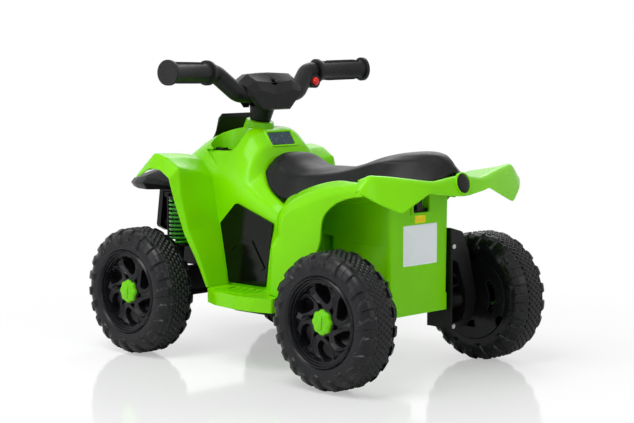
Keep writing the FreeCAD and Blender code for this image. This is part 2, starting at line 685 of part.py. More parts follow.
def kingpins():
    """Two headed pins through the yokes."""
    pins = []
    for side in (-1, 1):
        pin = rod_z(side * KINGPIN_X, FRONT_AXLE_Y, WHEEL_Z - 24, BRIDGE_Z + 0.5, KINGPIN_R)
        head = rod_z(side * KINGPIN_X, FRONT_AXLE_Y, BRIDGE_Z + 0.2, BRIDGE_Z + 3.5, KINGPIN_R + 3)
        pins.append(pin.fuse(head).removeSplitter())
    return Part.makeCompound(pins)


def knuckle():
    """Left steering knuckle: barrel on the kingpin, stub axle and steering arm."""
    barrel = rod_z(KINGPIN_X, FRONT_AXLE_Y, WHEEL_Z - 12, WHEEL_Z + 12, 9)
    stub = rod_x(KINGPIN_X + 2, AXLE_END_X, FRONT_AXLE_Y, WHEEL_Z, AXLE_R)
    collar = rod_x(KINGPIN_X + 2, INNER_FACE_X - 1, FRONT_AXLE_Y, WHEEL_Z, 9)
    arm = box(KINGPIN_X - 5, KINGPIN_X + 5, FRONT_AXLE_Y, FRONT_AXLE_Y + STEER_ARM, ROD_Z + 4.3, ROD_Z + 10)
    end = rod_z(KINGPIN_X, FRONT_AXLE_Y + STEER_ARM, ROD_Z + 4.3, ROD_Z + 10, 7)
    pin = rod_z(KINGPIN_X, FRONT_AXLE_Y + STEER_ARM, ROD_Z - 3, ROD_Z + 8, 3)
    bore = rod_z(KINGPIN_X, FRONT_AXLE_Y, WHEEL_Z - 13, WHEEL_Z + 13, KINGPIN_R + RUN)
    return fused(barrel, stub, collar, arm, end, pin).cut(bore)


def tie_rod():
    """Flat bar between the steering arms, with a slotted plate in the middle for the column's crank."""
    y = FRONT_AXLE_Y + STEER_ARM
    bar = box(-KINGPIN_X, KINGPIN_X, y - 6, y + 6, ROD_Z, ROD_Z + 4)
    parts = [bar]
    for side in (-1, 1):
        parts.append(rod_z(side * KINGPIN_X, y, ROD_Z, ROD_Z + 4, 7))
    pin_y = column_y(ROD_Z + 2) + STEER_ARM / math.cos(RAKE)
    parts.append(plate_z([(-26, y), (26, y), (14, pin_y + 14), (-14, pin_y + 14)], ROD_Z, ROD_Z + 4, [0, 0, 6, 6]))
    rod = fused(*parts)
    for side in (-1, 1):
        rod = rod.cut(rod_z(side * KINGPIN_X, y, ROD_Z - 1, ROD_Z + 5, 3 + RUN + (0 if side > 0 else 0.6)))
    slot = rod_z(0, pin_y - 3, ROD_Z - 1, ROD_Z + 5, 5).fuse(rod_z(0, pin_y + 3, ROD_Z - 1, ROD_Z + 5, 5))
    slot = slot.fuse(box(-5, 5, pin_y - 3, pin_y + 3, ROD_Z - 1, ROD_Z + 5))
    return rod.cut(slot)


def wheel_profile():
    """Section of the blow moulded wheel: tread, side walls, dished centre and hub, as (x, r) from its inner face."""
    w = TYRE_WIDTH
    t = TYRE_WALL
    disc = w - DISH_DEPTH
    shoulder = 0.2 * w
    crown = 0.975 * TYRE_R
    wall_r = 0.80 * TYRE_R
    mid_r = 0.91 * TYRE_R
    bend = 0.055 * w
    hub_end = w - 10.3

    def p(x, r):
        return V(x, r, 0)

    def line(a, b):
        return Part.LineSegment(a, b).toShape()

    def arc(a, m, b):
        return Part.Arc(a, m, b).toShape()

    edges = [
        line(p(0, RIM_R + 3), p(0, wall_r)),
        arc(p(0, wall_r), p(bend, mid_r), p(shoulder, crown)),
        arc(p(shoulder, crown), p(w / 2, TYRE_R), p(w - shoulder, crown)),
        arc(p(w - shoulder, crown), p(w - bend, mid_r), p(w, wall_r)),
        line(p(w, wall_r), p(w, RIM_R - 1)),
        line(p(w, RIM_R - 1), p(w - 4, RIM_R - 4)),
        line(p(w - 4, RIM_R - 4), p(disc, RIM_R - 8)),
        line(p(disc, RIM_R - 8), p(disc, HUB_R)),
        line(p(disc, HUB_R), p(hub_end, HUB_R)),
        line(p(hub_end, HUB_R), p(hub_end, AXLE_R + RUN)),
        line(p(hub_end, AXLE_R + RUN), p(w / 2 + 1, AXLE_R + RUN)),
        line(p(w / 2 + 1, AXLE_R + RUN), p(w / 2 + 1, HUB_R - 2)),
        line(p(w / 2 + 1, HUB_R - 2), p(disc - SPOKE_WALL, HUB_R - 2)),
        line(p(disc - SPOKE_WALL, HUB_R - 2), p(disc - SPOKE_WALL, RIM_R - 5)),
        line(p(disc - SPOKE_WALL, RIM_R - 5), p(w - t, RIM_R + 1)),
        line(p(w - t, RIM_R + 1), p(w - t, wall_r)),
        arc(p(w - t, wall_r), p(w - bend - t, mid_r - t * 0.7), p(w - shoulder, crown - t)),
        arc(p(w - shoulder, crown - t), p(w / 2, TYRE_R - t), p(shoulder, crown - t)),
        arc(p(shoulder, crown - t), p(bend + t, mid_r - t * 0.7), p(t, wall_r)),
        line(p(t, wall_r), p(t, RIM_R + 3)),
        line(p(t, RIM_R + 3), p(0, RIM_R + 3)),
    ]
    return Part.Wire(edges)


def spoke_window(turn_deg):
    """Opening between two spokes of the disc."""
    disc = TYRE_WIDTH - DISH_DEPTH
    outline = [(26, -6), (26, 6), (45, 15), (48.5, 0), (45, -15)]
    wire = rounded_wire([V(disc - SPOKE_WALL - 1, a, r) for r, a in outline], [2.5, 2.5, 4, 0, 4])
    window = Part.Face(wire).extrude(V(SPOKE_WALL + 8, 0, 0))
    window.rotate(V(0, 0, 0), V(1, 0, 0), turn_deg)
    return window


def wheel():
    """Wheel with its outer face at +X, centred on the X axis at its inner face."""
    body = Part.Face(wheel_profile()).revolve(V(0, 0, 0), V(1, 0, 0), 360)
    body.rotate(V(0, 0, 0), V(1, 0, 0), -90)
    windows = [spoke_window(i * 360 / SPOKES) for i in range(SPOKES)]
    return body.cut(windows[0].multiFuse(windows[1:]))


def hub_plate():
    """Disc that closes the wheel's inner side: boss on the axle, curved slots and three edge notches."""
    plate = Part.makeCylinder(RIM_R + 3 - GAP, 3, V(0.4, 0, 0), V(1, 0, 0))
    boss = Part.makeCylinder(HUB_R - 2, TYRE_WIDTH / 2, V(0.4, 0, 0), V(1, 0, 0))
    body = plate.fuse(boss)
    for i in range(3):
        turn = math.radians(120 * i + 90)
        body = body.cut(Part.makeCylinder(9, 6, V(-1, (RIM_R + 3) * math.cos(turn), (RIM_R + 3) * math.sin(turn)),
                                          V(1, 0, 0)))
        outer = Part.makeCylinder(44, 6, V(-1, 0, 0), V(1, 0, 0), 70)
        inner = Part.makeCylinder(34, 6, V(-1, 0, 0), V(1, 0, 0), 70)
        window = outer.cut(inner)
        window.rotate(V(0, 0, 0), V(1, 0, 0), 120 * i)
        body = body.cut(window)
    return body.cut(Part.makeCylinder(AXLE_R + RUN, 80, V(-5, 0, 0), V(1, 0, 0))).removeSplitter()


def hub_cap():
    """Eight-lobed cap pushed over the hub, with a raised bar across its face."""
    start = TYRE_WIDTH - DISH_DEPTH + 0.3
    face = TYRE_WIDTH - 2.6
    body = Part.makeCylinder(HUB_CAP_R, face - start, V(start, 0, 0), V(1, 0, 0))
    for i in range(8):
        turn = math.radians(22.5 + 45 * i)
        notch = Part.makeCylinder(3, 30, V(start - 1, (HUB_CAP_R + 1.6) * math.cos(turn),
                                           (HUB_CAP_R + 1.6) * math.sin(turn)), V(1, 0, 0))
        body = body.cut(notch)
    bar = Part.Face(rounded_wire([V(face - 1, -4, -11), V(face - 1, 4, -11), V(face - 1, 4, 11), V(face - 1, -4, 11)],
                                 3)).extrude(V(3.4, 0, 0))
    cavity = Part.makeCylinder(HUB_R + 0.1, face - 2.5 - start + 1, V(start - 1, 0, 0), V(1, 0, 0))
    return body.cut(cavity).fuse(bar).removeSplitter()


def on_axle(shape, side, axle_y):
    """A wheel piece set on its axle, mirrored for the right side."""
    placed = shape.copy()
    placed.translate(V(INNER_FACE_X, axle_y, WHEEL_Z))
    return placed if side > 0 else mirrored(placed)


def rear_axle():
    """Steel rod through the box and both arms."""
    return rod_x(-AXLE_END_X, AXLE_END_X, REAR_AXLE_Y, WHEEL_Z, AXLE_R)


def push_nut(y):
    """Nut on an axle's left end."""
    x = INNER_FACE_X + HUB_FACE + GAP
    return rod_x(x, x + 3.5, y, WHEEL_Z, 9).cut(rod_x(x - 1, x + 9, y, WHEEL_Z, AXLE_R + SLIT / 2))


def rear_arm_form():
    """Right rear arm: triangular bracket with a rim, inner ribs and a boss for the axle."""
    a = ARM_X
    outline = [(-a, ARM_TOP_Z), (-88, 196), (-102, 166), (-121, 98), (-112, 68), (-96, ARM_BOTTOM_Z),
               (-a, ARM_BOTTOM_Z)]
    radii = [0, 8, 20, 16, 14, 10, 0]
    front, back = REAR_AXLE_Y - 27, REAR_AXLE_Y + 17
    solid = plate_y(outline, front, back, radii)
    inside = [(-a - 4, 158), (-78, 152), (-95, 108), (-96, 84), (-88, 68), (-a - 4, 64)]
    hollow = plate_y(inside, front + 4, back + 1, [2, 6, 10, 8, 6, 2])
    feet = [((-a - 1, 84), (-98, 106)), ((-a - 1, 112), (-93, 118)), ((-a - 1, 140), (-86, 128))]
    ribs = []
    for (xa, za), (xb, zb) in feet:
        ribs.append(plate_y([(xa, za), (xb, zb), (xb, zb + WALL), (xa, za + WALL)], front + 3, back - 8))
    boss = rod_x(-INNER_FACE_X + 2, -a, REAR_AXLE_Y, WHEEL_Z, 12)
    return fused(solid.cut(hollow), *ribs, boss)


def rear_arm_right():
    """Right rear arm on the plain end of the axle."""
    arm = rear_arm_form().cut(rod_x(-INNER_FACE_X, -50, REAR_AXLE_Y, WHEEL_Z, AXLE_R + SLIT / 2))
    for z in (176, 61):
        arm = arm.cut(rod_y(-ARM_X - 5, REAR_AXLE_Y + 5, REAR_AXLE_Y + 18, z, 1.6 + SLIT))
    return arm


def rear_arm_left():
    """Left rear arm, lower than the right one and opened for the gearbox and the sleeve of its last gear."""
    arm = mirrored(rear_arm_form()).cut(gearbox_form(WALL + GAP, ARM_X - 5, GEARBOX_X1 + 4 + GAP))
    arm = arm.cut(rod_x(50, INNER_FACE_X, REAR_AXLE_Y, WHEEL_Z, 9 + GAP))
    arm = arm.cut(box(50, INNER_FACE_X, REAR_AXLE_Y - 30, REAR_AXLE_Y + 20, LEFT_ARM_TOP_Z, ARM_TOP_Z + 1))
    arm = arm.cut(box(50, INNER_FACE_X, BOX_BACK_Y - 2, REAR_AXLE_Y + 20, ARM_BOTTOM_Z - 1, ARM_TOP_Z + 1))
    return max(arm.Solids, key=lambda solid: solid.Volume)


def hull_of_circles(circles, x0, x1):
    """Plate whose outline wraps three circles, given as (y, z, r) in order round the outline."""
    pieces = [rod_x(x0, x1, y, z, r) for y, z, r in circles]
    for (ya, za, ra), (yb, zb, rb) in zip(circles, circles[1:]):
        dy, dz = yb - ya, zb - za
        length = math.hypot(dy, dz)
        lean = math.asin((ra - rb) / length)
        base = math.atan2(dz, dy)
        corners = []
        for sign, (y, z, r) in ((1, (ya, za, ra)), (1, (yb, zb, rb)), (-1, (yb, zb, rb)), (-1, (ya, za, ra))):
            turn = base + sign * (math.pi / 2 - lean)
            corners.append((y + r * math.cos(turn), z + r * math.sin(turn)))
        pieces.append(plate_x(corners, x0, x1))
    return fused(*pieces)


def gear(teeth, x0, x1):
    """Spur gear on the X axis, six points a tooth."""
    pitch = MODULE * teeth / 2
    root = pitch - 1.2 * MODULE
    tip = pitch + 0.9 * MODULE
    step = 2 * math.pi / teeth
    points = []
    for i in range(teeth):
        for share, r in ((-0.30, root), (-0.22, pitch), (-0.11, tip), (0.11, tip), (0.22, pitch), (0.30, root)):
            turn = (i + share) * step
            points.append(V(x0, r * math.cos(turn), r * math.sin(turn)))
    return Part.Face(closed_wire(points)).extrude(V(x1 - x0, 0, 0))


def set_on(shape, centre, turn_deg):
    """A gear turned about X and moved to its centre."""
    placed = shape.copy()
    placed.rotate(V(0, 0, 0), V(1, 0, 0), turn_deg)
    placed.translate(V(0, centre[0], centre[1]))
    return placed


def mesh_turn(teeth_a, turn_a, centre_a, teeth_b, centre_b):
    """Turn of gear b so that it meshes with gear a."""
    line = math.degrees(math.atan2(centre_b[1] - centre_a[1], centre_b[0] - centre_a[0]))
    phase_a = (line - turn_a) * teeth_a / 360
    return line + 180 - (0.5 - phase_a) * 360 / teeth_b


def gear_layout():
    """Centres and turns of the three shafts: output on the axle, reduction, motor."""
    output = (REAR_AXLE_Y, WHEEL_Z)
    reach_a = MODULE * (SMALL_TEETH + OUTPUT_TEETH) / 2 + 0.15
    reach_b = MODULE * (FIRST_TEETH + PINION_TEETH) / 2 + 0.15
    lift_a, lift_b = math.radians(148), math.radians(152)
    middle = (output[0] + reach_a * math.cos(lift_a), output[1] + reach_a * math.sin(lift_a))
    motor = (middle[0] + reach_b * math.cos(lift_b), middle[1] + reach_b * math.sin(lift_b))
    small_turn = mesh_turn(OUTPUT_TEETH, 0, output, SMALL_TEETH, middle)
    pinion_turn = mesh_turn(FIRST_TEETH, small_turn, middle, PINION_TEETH, motor)
    return output, middle, motor, small_turn, pinion_turn


def output_gear():
    """Last gear, whose sleeve drives the left wheel."""
    output, _, _, _, _ = gear_layout()
    teeth = set_on(gear(OUTPUT_TEETH, GEAR_X + FACE_WIDTH + 1, GEAR_X + 2 * FACE_WIDTH + 1), output, 0)
    sleeve = rod_x(GEAR_X + FACE_WIDTH + 1, INNER_FACE_X + 0.35, output[0], output[1], 9)
    return teeth.fuse(sleeve).cut(rod_x(50, 140, output[0], output[1], AXLE_R + RUN))


def reduction_gear():
    """Compound gear: large wheel from the motor, small wheel to the output."""
    _, middle, _, turn, _ = gear_layout()
    large = set_on(gear(FIRST_TEETH, GEAR_X, GEAR_X + FACE_WIDTH), middle, turn)
    small = set_on(gear(SMALL_TEETH, GEAR_X + FACE_WIDTH - 0.5, GEAR_X + 2 * FACE_WIDTH + 2), middle, turn)
    return large.fuse(small).cut(rod_x(50, 140, middle[0], middle[1], 2 + RUN))


def motor_pinion():
    """Pinion pressed on the motor's shaft."""
    _, _, centre, _, turn = gear_layout()
    teeth = set_on(gear(PINION_TEETH, GEAR_X - 1, GEAR_X + FACE_WIDTH + 1), centre, turn)
    return teeth.cut(rod_x(50, 140, centre[0], centre[1], 1.2))


def motor():
    """Small round motor with its shaft."""
    _, _, (y, z), _, _ = gear_layout()
    can = rod_x(GEARBOX_X0 - 38, GEARBOX_X0 - SLIT, y, z, MOTOR_R)
    nose = rod_x(GEARBOX_X0 - 1, GEARBOX_X0 + 2.5, y, z, 5)
    shaft = rod_x(GEARBOX_X0, GEAR_X + FACE_WIDTH + 2, y, z, 1.15)
    return fused(can, nose, shaft)


def gearbox_form(grow, x0, x1):
    """Plate that wraps the three shafts, grown outwards."""
    output, middle, centre, _, _ = gear_layout()
    circles = [(output[0], output[1], MODULE * OUTPUT_TEETH / 2 + 2.5 + grow),
               (middle[0], middle[1], MODULE * FIRST_TEETH / 2 + 2.5 + grow),
               (centre[0], centre[1], MOTOR_R + grow)]
    return hull_of_circles(circles, x0, x1)


def gearbox_housing():
    """Inner half of the gearbox on the box's side, with the motor's seat and the reduction shaft."""
    output, middle, centre, _, _ = gear_layout()
    case = gearbox_form(WALL, GEARBOX_X0, GEARBOX_X1).cut(gearbox_form(0, GEARBOX_X0 + WALL, GEARBOX_X1 + 1))
    pin = rod_x(GEARBOX_X0 + 1, GEARBOX_X1 - 0.5, middle[0], middle[1], 2)
    boss = rod_x(GEARBOX_X0, GEAR_X + FACE_WIDTH + 0.6, output[0], output[1], AXLE_R + 2.4)
    body = fused(case, pin, boss)
    body = body.cut(rod_x(50, 140, output[0], output[1], AXLE_R + SLIT / 2))
    return body.cut(rod_x(GEARBOX_X0 - 1, GEARBOX_X0 + WALL + 1, centre[0], centre[1], 5.2))


def gearbox_cover():
    """Outer half of the gearbox."""
    output, _, _, _, _ = gear_layout()
    cover = gearbox_form(WALL, GEARBOX_X1 + SLIT, GEARBOX_X1 + 4)
    return cover.cut(rod_x(50, 140, output[0], output[1], 9 + GAP))


def battery():
    """Six volt battery with two terminals, standing in the box."""
    case = box(-35, 35, 40, 87, BOX_BOTTOM_Z + WALL + 0.1, 186)
    posts = [box(x - 3, x + 3, 46, 50, 185.5, 192) for x in (-24, -10)]
    return fused(case, *posts)


def strut_ends():
    """Foot and head of the left front strut."""
    return V(STRUT_X, *STRUT_FOOT), V(STRUT_X, *STRUT_HEAD)


def shock_strut():
    """Rod of the left front strut, with a foot cup on the beam and a head plate held by the tower."""
    foot, head = strut_ends()
    direction = head.sub(foot).normalize()
    cup_r = SPRING_R + SPRING_WIRE_R
    rod = Part.makeCylinder(SPRING_R - SPRING_WIRE_R - 5, head.distanceToPoint(foot), foot, direction)
    cup = Part.makeCylinder(cup_r, 4, foot.sub(direction * 4), direction)
    cap = Part.makeCylinder(cup_r, 4, head, direction)
    base = BRIDGE_Z - GAP + SLIT
    stem = Part.makeCone(8, 12, foot.z - 2 - base, V(foot.x, FRONT_AXLE_Y + 1, base))
    lug = box(50 + SLIT, STRUT_X + 4, head.y - 10, head.y + 10, head.z + 1.5, head.z + 6)
    return fused(rod, cup, cap, stem, lug)


def shock_spring():
    """Left coil spring round the strut, one unbroken wire on quarter-turn arcs."""
    foot, head = strut_ends()
    axis = head.sub(foot).normalize()
    across = V(1, 0, 0).sub(axis * axis.x).normalize()
    third = axis.cross(across)
    lift = SPRING_WIRE_R + SLIT
    usable = head.distanceToPoint(foot) - 2 * lift
    turns = SPRING_TURNS
    pitch = usable / turns
    edges = []

    def at(turn):
        angle = 2 * math.pi * turn
        return foot.add(axis * (lift + pitch * turn)).add(
            across * (SPRING_R * math.cos(angle))).add(third * (SPRING_R * math.sin(angle)))

    for i in range(int(turns * 2)):
        edges.append(Part.Arc(at(i / 2), at(i / 2 + 0.25), at(i / 2 + 0.5)).toShape())
    path = Part.Wire(edges)
    start = at(0)
    tangent = edges[0].tangentAt(edges[0].FirstParameter)
    section = Part.Wire(Part.makeCircle(SPRING_WIRE_R, start, tangent))
    print(f"spring: {turns} turns, pitch {pitch:.2f}, gap {pitch - 2 * SPRING_WIRE_R:.2f}")
    return path.makePipeShell([section], True, False)


def rocker_seat(grow):
    """Slot in the floor of the hollow for the rocker switch."""
    x, y, z = RECESS
    return box(x - 7 - grow, x + 7 + grow, y - 10 - grow, y + 10 + grow, z - 20, z + 3)


def switch_frame():
    """Frame that drops into the hollow's floor and carries the rocker."""
    x, y, z = RECESS
    flange = box(x - 8.5, x + 8.5, y - 11.5, y + 11.5, z + SLIT, z + 1.5)
    tube = box(x - 7, x + 7, y - 10, y + 10, z - 12, z + 1)
    hollow = box(x - 5.3, x + 5.3, y - 8.8, y + 8.8, z - 10, z + 3)
    return flange.fuse(tube).cut(hollow).cut(rod_x(x - 8, x + 8, y, z - 1, ROCKER_PIN_R + RUN)).removeSplitter()


def rocker():
    """Rocker key: a shallow roof shape rounded below about its pivot."""
    x, y, z = RECESS
    profile = [(y - 8, z - 1), (y - 8, z + 4), (y, z + 2), (y + 8, z + 4), (y + 8, z - 1), (y, z - 6)]
    return plate_x(profile, x - 5, x + 5).fuse(rod_x(x - 6.8, x + 6.8, y, z - 1, ROCKER_PIN_R)).removeSplitter()


def dash_screen():
    """Black glass panel in the bezel, with the slope of the dash."""
    return dash_slab(23.2, 10.2, 10.2, 0.8, 1.1)


def front_cowl():
    """Black plate that stands before the column and lies down over the nose."""
    sections = [
        (-200, 30, 283.5, 281.2),
        (-176, 33, 310, 305.6),
        (-160, 36, 330, 316),
        (-152, 38, 350, 334),
        (-146, 36, 357, 351),
    ]
    wires = []
    for y, half, top, low in sections:
        wires.append(closed_wire([V(-half, y, low), V(-half + 4, y, top), V(half - 4, y, top), V(half, y, low)]))
    return Part.makeLoft(wires, True, True)


def headlight_housing():
    """Wrap-around lamp housing under the nose, hollow and open behind."""
    low = LAMP_LOW_Z
    stations = [
        (-196 - GAP, [(0, 279), (46, 278), (66, 268), (88, 250), (90, 246), (86, low)]),
        (-225, [(0, 278), (50, 276), (90, 270), (118, 262), (124, 252), (116, low)]),
        (-250, [(0, 276), (50, 273), (88, 266), (112, 258), (120, 250), (112, low)]),
        (-275, [(0, 272), (50, 268), (80, 261), (100, 255), (106, 249), (100, low + 1)]),
        (NOSE_Y, [(0, 262), (26, 260), (36, 257), (44, 254), (48, 250), (46, low + 3)]),
    ]
    outer = []
    inner = []
    for y, half in stations:
        full = [(-x, z) for x, z in half[:0:-1]] + half
        outer.append(closed_wire([V(x, y, z) for x, z in full]))
        inset = [(-x, z) for x, z in offset_line(half, WALL)[:0:-1]] + offset_line(half, WALL)
        shift = 1 if y > -200 else (WALL if y == NOSE_Y else 0)
        raised = [(x, max(z, half[-1][1] + WALL)) for x, z in inset]
        inner.append(closed_wire([V(x, y + shift, z) for x, z in raised]))
    body = Part.makeLoft(outer, True, True).cut(Part.makeLoft(inner, True, True))
    for side in (-1, 1):
        body = body.cut(lamp_cutter(side, LENS_R + GAP))
    return body


def lamp_cutter(side, r):
    """Cylinder through the housing's front corner, along a lamp's line of sight."""
    return Part.makeCylinder(r, 60, V(side * 74, -296, 252.5), V(0, 1, 0))


def lamp_lens():
    """Left headlamp lens: domed disc with a barrel."""
    dome = Part.makeSphere(22, V(74, -264, 252.5)).common(rod_y(74, -286, -274, 252.5, LENS_R))
    return dome.fuse(rod_y(74, -275, -250, 252.5, LENS_R)).removeSplitter()


def front_guard():
    """Bumper below the lamps: rounded plate with two windows and two arms back to the tower."""
    outline = [(-50, 176), (-42, 238), (42, 238), (50, 176), (34, 168), (-34, 168)]
    plate = plate_y(outline, -281, -272, [6, 8, 8, 6, 8, 8])
    for side in (-1, 1):
        window = [(side * 5, 182), (side * 5, 226), (side * 31, 226), (side * 36, 182)]
        plate = plate.cut(plate_y(window, -290, -260, 4))
    arms = [box(min(side * 30, side * 42), max(side * 30, side * 42), -273, TOWER_FRONT_Y - SLIT, z, z + 8)
            for side in (-1, 1) for z in (178, 222)]
    return fused(plate, *arms)


def seat_latch():
    """Turning catch in the pocket at the back, hinged at its foot."""
    lever = box(-8.5, 3.5, BOX_BACK_Y - 6, BOX_BACK_Y - 2, 230, 256)
    hook = box(-8.5, 3.5, BOX_BACK_Y - 7.5, BOX_BACK_Y - 2, 250, 256)
    barrel = rod_x(-21 + GAP, 16 - GAP, BOX_BACK_Y - 5, 231.5, 2.6)
    return fused(lever, hook, barrel)


def badge():
    """Plain round plate on the middle of the wing."""
    disc = Part.makeCylinder(12, 2, V(0, 0, SLIT))
    disc.rotate(V(0, 0, 0), V(1, 0, 0), -90 + 13)
    disc.translate(V(0, 299, 271))
    return disc


def arm_screws():
    """Screws that hold the right rear arm's flange, heads facing back."""
    y = REAR_AXLE_Y + 17
    screws = []
    for z in (176, 61):
        shank = rod_y(-ARM_X - 5, y - 9, y + 0.5, z, 1.6)
        head = rod_y(-ARM_X - 5, y + SLIT, y + 1.8, z, 3.4)
        screws.append(shank.fuse(head).removeSplitter())
    return Part.makeCompound(screws)


PIECES = {
    "front_body_shell": front_body_shell,
    "rear_fender": rear_fender,
    "battery_box": battery_box,
    "seat": seat,
    "handlebar": handlebar,
    "grip_left": grip,
    "grip_right": lambda: mirrored(grip()),
    "handlebar_cover": handlebar_cover,
    "column_sleeve": column_sleeve,
    "steering_column": steering_column,
    "red_button": red_button,
    "switch_frame": switch_frame,
    "rocker": rocker,
    "dash_screen": dash_screen,
    "front_cowl": front_cowl,
    "headlight_housing": headlight_housing,
    "lamp_lenses": lambda: Part.makeCompound([lamp_lens(), mirrored(lamp_lens())]),
    "front_guard": front_guard,
    "side_panel_left": side_panel,
    "side_panel_right": lambda: mirrored(side_panel()),
    "footboard_left": footboard,
    "footboard_right": lambda: mirrored(footboard()),
    "chassis_base": chassis_base,
    "front_axle_beam": front_axle_beam,
    "kingpins": kingpins,
    "knuckle_left": knuckle,
    "knuckle_right": lambda: mirrored(knuckle()),
    "tie_rod": tie_rod,
    "shock_strut_left": shock_strut,
    "shock_strut_right": lambda: mirrored(shock_strut()),
    "shock_spring_left": shock_spring,
    "shock_spring_right": lambda: mirrored(shock_spring()),
    "rear_axle": rear_axle,
    "rear_arm_left": rear_arm_left,
    "rear_arm_right": rear_arm_right,
    "gearbox_housing": gearbox_housing,
    "gearbox_cover": gearbox_cover,
    "motor": motor,
    "motor_pinion": motor_pinion,
    "reduction_gear": reduction_gear,
    "output_gear": output_gear,
    "battery": battery,
    "arm_screws": arm_screws,
    "seat_latch": seat_latch,
    "badge": badge,
}

for name, make in PIECES.items():
    save(name, make())

ROUND = [("front_left", 1, FRONT_AXLE_Y), ("front_right", -1, FRONT_AXLE_Y),
         ("rear_left", 1, REAR_AXLE_Y), ("rear_right", -1, REAR_AXLE_Y)]
for corner, side, axle_y in ROUND:
    save(f"wheel_{corner}", on_axle(wheel(), side, axle_y))
    save(f"hub_plate_{corner}", on_axle(hub_plate(), side, axle_y))
    save(f"hub_cap_{corner}", on_axle(hub_cap(), side, axle_y))
nuts = [push_nut(axle_y) if side > 0 else mirrored(push_nut(axle_y)) for _, side, axle_y in ROUND]
save("front_nut_left", nuts[0])
save("front_nut_right", nuts[1])
save("rear_axle_nuts", Part.makeCompound(nuts[2:]))
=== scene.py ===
"""Looks of a child's battery quad bike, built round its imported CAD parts.

Every length in the classes below is in millimetres in the frame of the part: +Z up, forward is -Y,
the rider's left is +X. Meshes are scaled to metres when they are made.
"""

import json
import logging
import math
from dataclasses import dataclass, field
from enum import Enum
from typing import Sequence

import bmesh
import bpy
import numpy as np
from mathutils import Matrix, Vector

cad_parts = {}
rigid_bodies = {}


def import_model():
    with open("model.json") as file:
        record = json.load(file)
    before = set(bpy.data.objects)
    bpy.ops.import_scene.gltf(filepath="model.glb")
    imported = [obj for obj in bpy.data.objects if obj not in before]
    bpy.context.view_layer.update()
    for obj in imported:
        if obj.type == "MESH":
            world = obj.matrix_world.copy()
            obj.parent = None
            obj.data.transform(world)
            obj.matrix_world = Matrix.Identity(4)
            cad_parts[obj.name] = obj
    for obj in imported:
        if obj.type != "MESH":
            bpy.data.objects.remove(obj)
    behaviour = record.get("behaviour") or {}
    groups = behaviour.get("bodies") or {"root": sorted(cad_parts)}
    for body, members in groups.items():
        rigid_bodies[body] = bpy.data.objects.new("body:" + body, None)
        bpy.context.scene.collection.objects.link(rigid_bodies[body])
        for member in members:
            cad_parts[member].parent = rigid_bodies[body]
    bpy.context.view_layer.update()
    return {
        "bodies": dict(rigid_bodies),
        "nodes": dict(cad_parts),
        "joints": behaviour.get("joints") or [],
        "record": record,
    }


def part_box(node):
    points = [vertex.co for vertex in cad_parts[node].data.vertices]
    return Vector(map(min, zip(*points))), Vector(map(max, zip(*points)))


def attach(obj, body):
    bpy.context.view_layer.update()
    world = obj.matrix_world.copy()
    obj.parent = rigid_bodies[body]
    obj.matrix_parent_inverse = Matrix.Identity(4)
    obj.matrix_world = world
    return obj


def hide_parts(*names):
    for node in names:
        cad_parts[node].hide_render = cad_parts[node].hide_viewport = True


LOG = logging.getLogger("quad_bike")
MM = 0.001
TINY = 1e-9
CREASE_SHARE = 0.33  # most of a span that the rounding of a crease takes
CREASE_STEPS = 3
RIM_BULGE = 0.35  # how far the rim of a sheet rounds out, as a share of its wall
BEVEL_ANGLE = 40
WELD_GAP = 0.02
FRONT_AXLE = (-189.0, 95.0)
REAR_AXLE = (213.0, 95.0)
CORNERS = {"front_left": (1, FRONT_AXLE), "front_right": (-1, FRONT_AXLE),
           "rear_left": (1, REAR_AXLE), "rear_right": (-1, REAR_AXLE)}

Point = tuple[float, float, float]
Colour = tuple[float, float, float]
Pair = tuple[float, float]
Line = Sequence[Point]
Faces = list[tuple[int, ...]]
Shape = tuple[np.ndarray, Faces]
Material = bpy.types.Material
Thing = bpy.types.Object


class Side(Enum):
    """Side of the bike, with the sign of its X."""

    LEFT = 1
    RIGHT = -1


# Shader maths


class Sock:
    """A shader socket that is used like a number."""

    def __init__(self, tree: "Tree", socket: bpy.types.NodeSocket) -> None:
        """Holds the socket and the tree that it belongs to."""
        self.tree = tree
        self.socket = socket

    def _math(self, kind: str, a: "Sock | float", b: "Sock | float") -> "Sock":
        """One Math node on two values."""
        return self.tree.node("ShaderNodeMath", {"operation": kind}, {0: a, 1: b})

    def __add__(self, other: "Sock | float") -> "Sock":
        """Sum."""
        return self._math("ADD", self, other)

    __radd__ = __add__

    def __sub__(self, other: "Sock | float") -> "Sock":
        """Difference."""
        return self._math("SUBTRACT", self, other)

    def __rsub__(self, other: float) -> "Sock":
        """Difference from a plain number."""
        return self._math("SUBTRACT", other, self)

    def __mul__(self, other: "Sock | float") -> "Sock":
        """Product."""
        return self._math("MULTIPLY", self, other)

    __rmul__ = __mul__

    def larger(self, other: "Sock") -> "Sock":
        """The larger of two values."""
        return self._math("MAXIMUM", self, other)


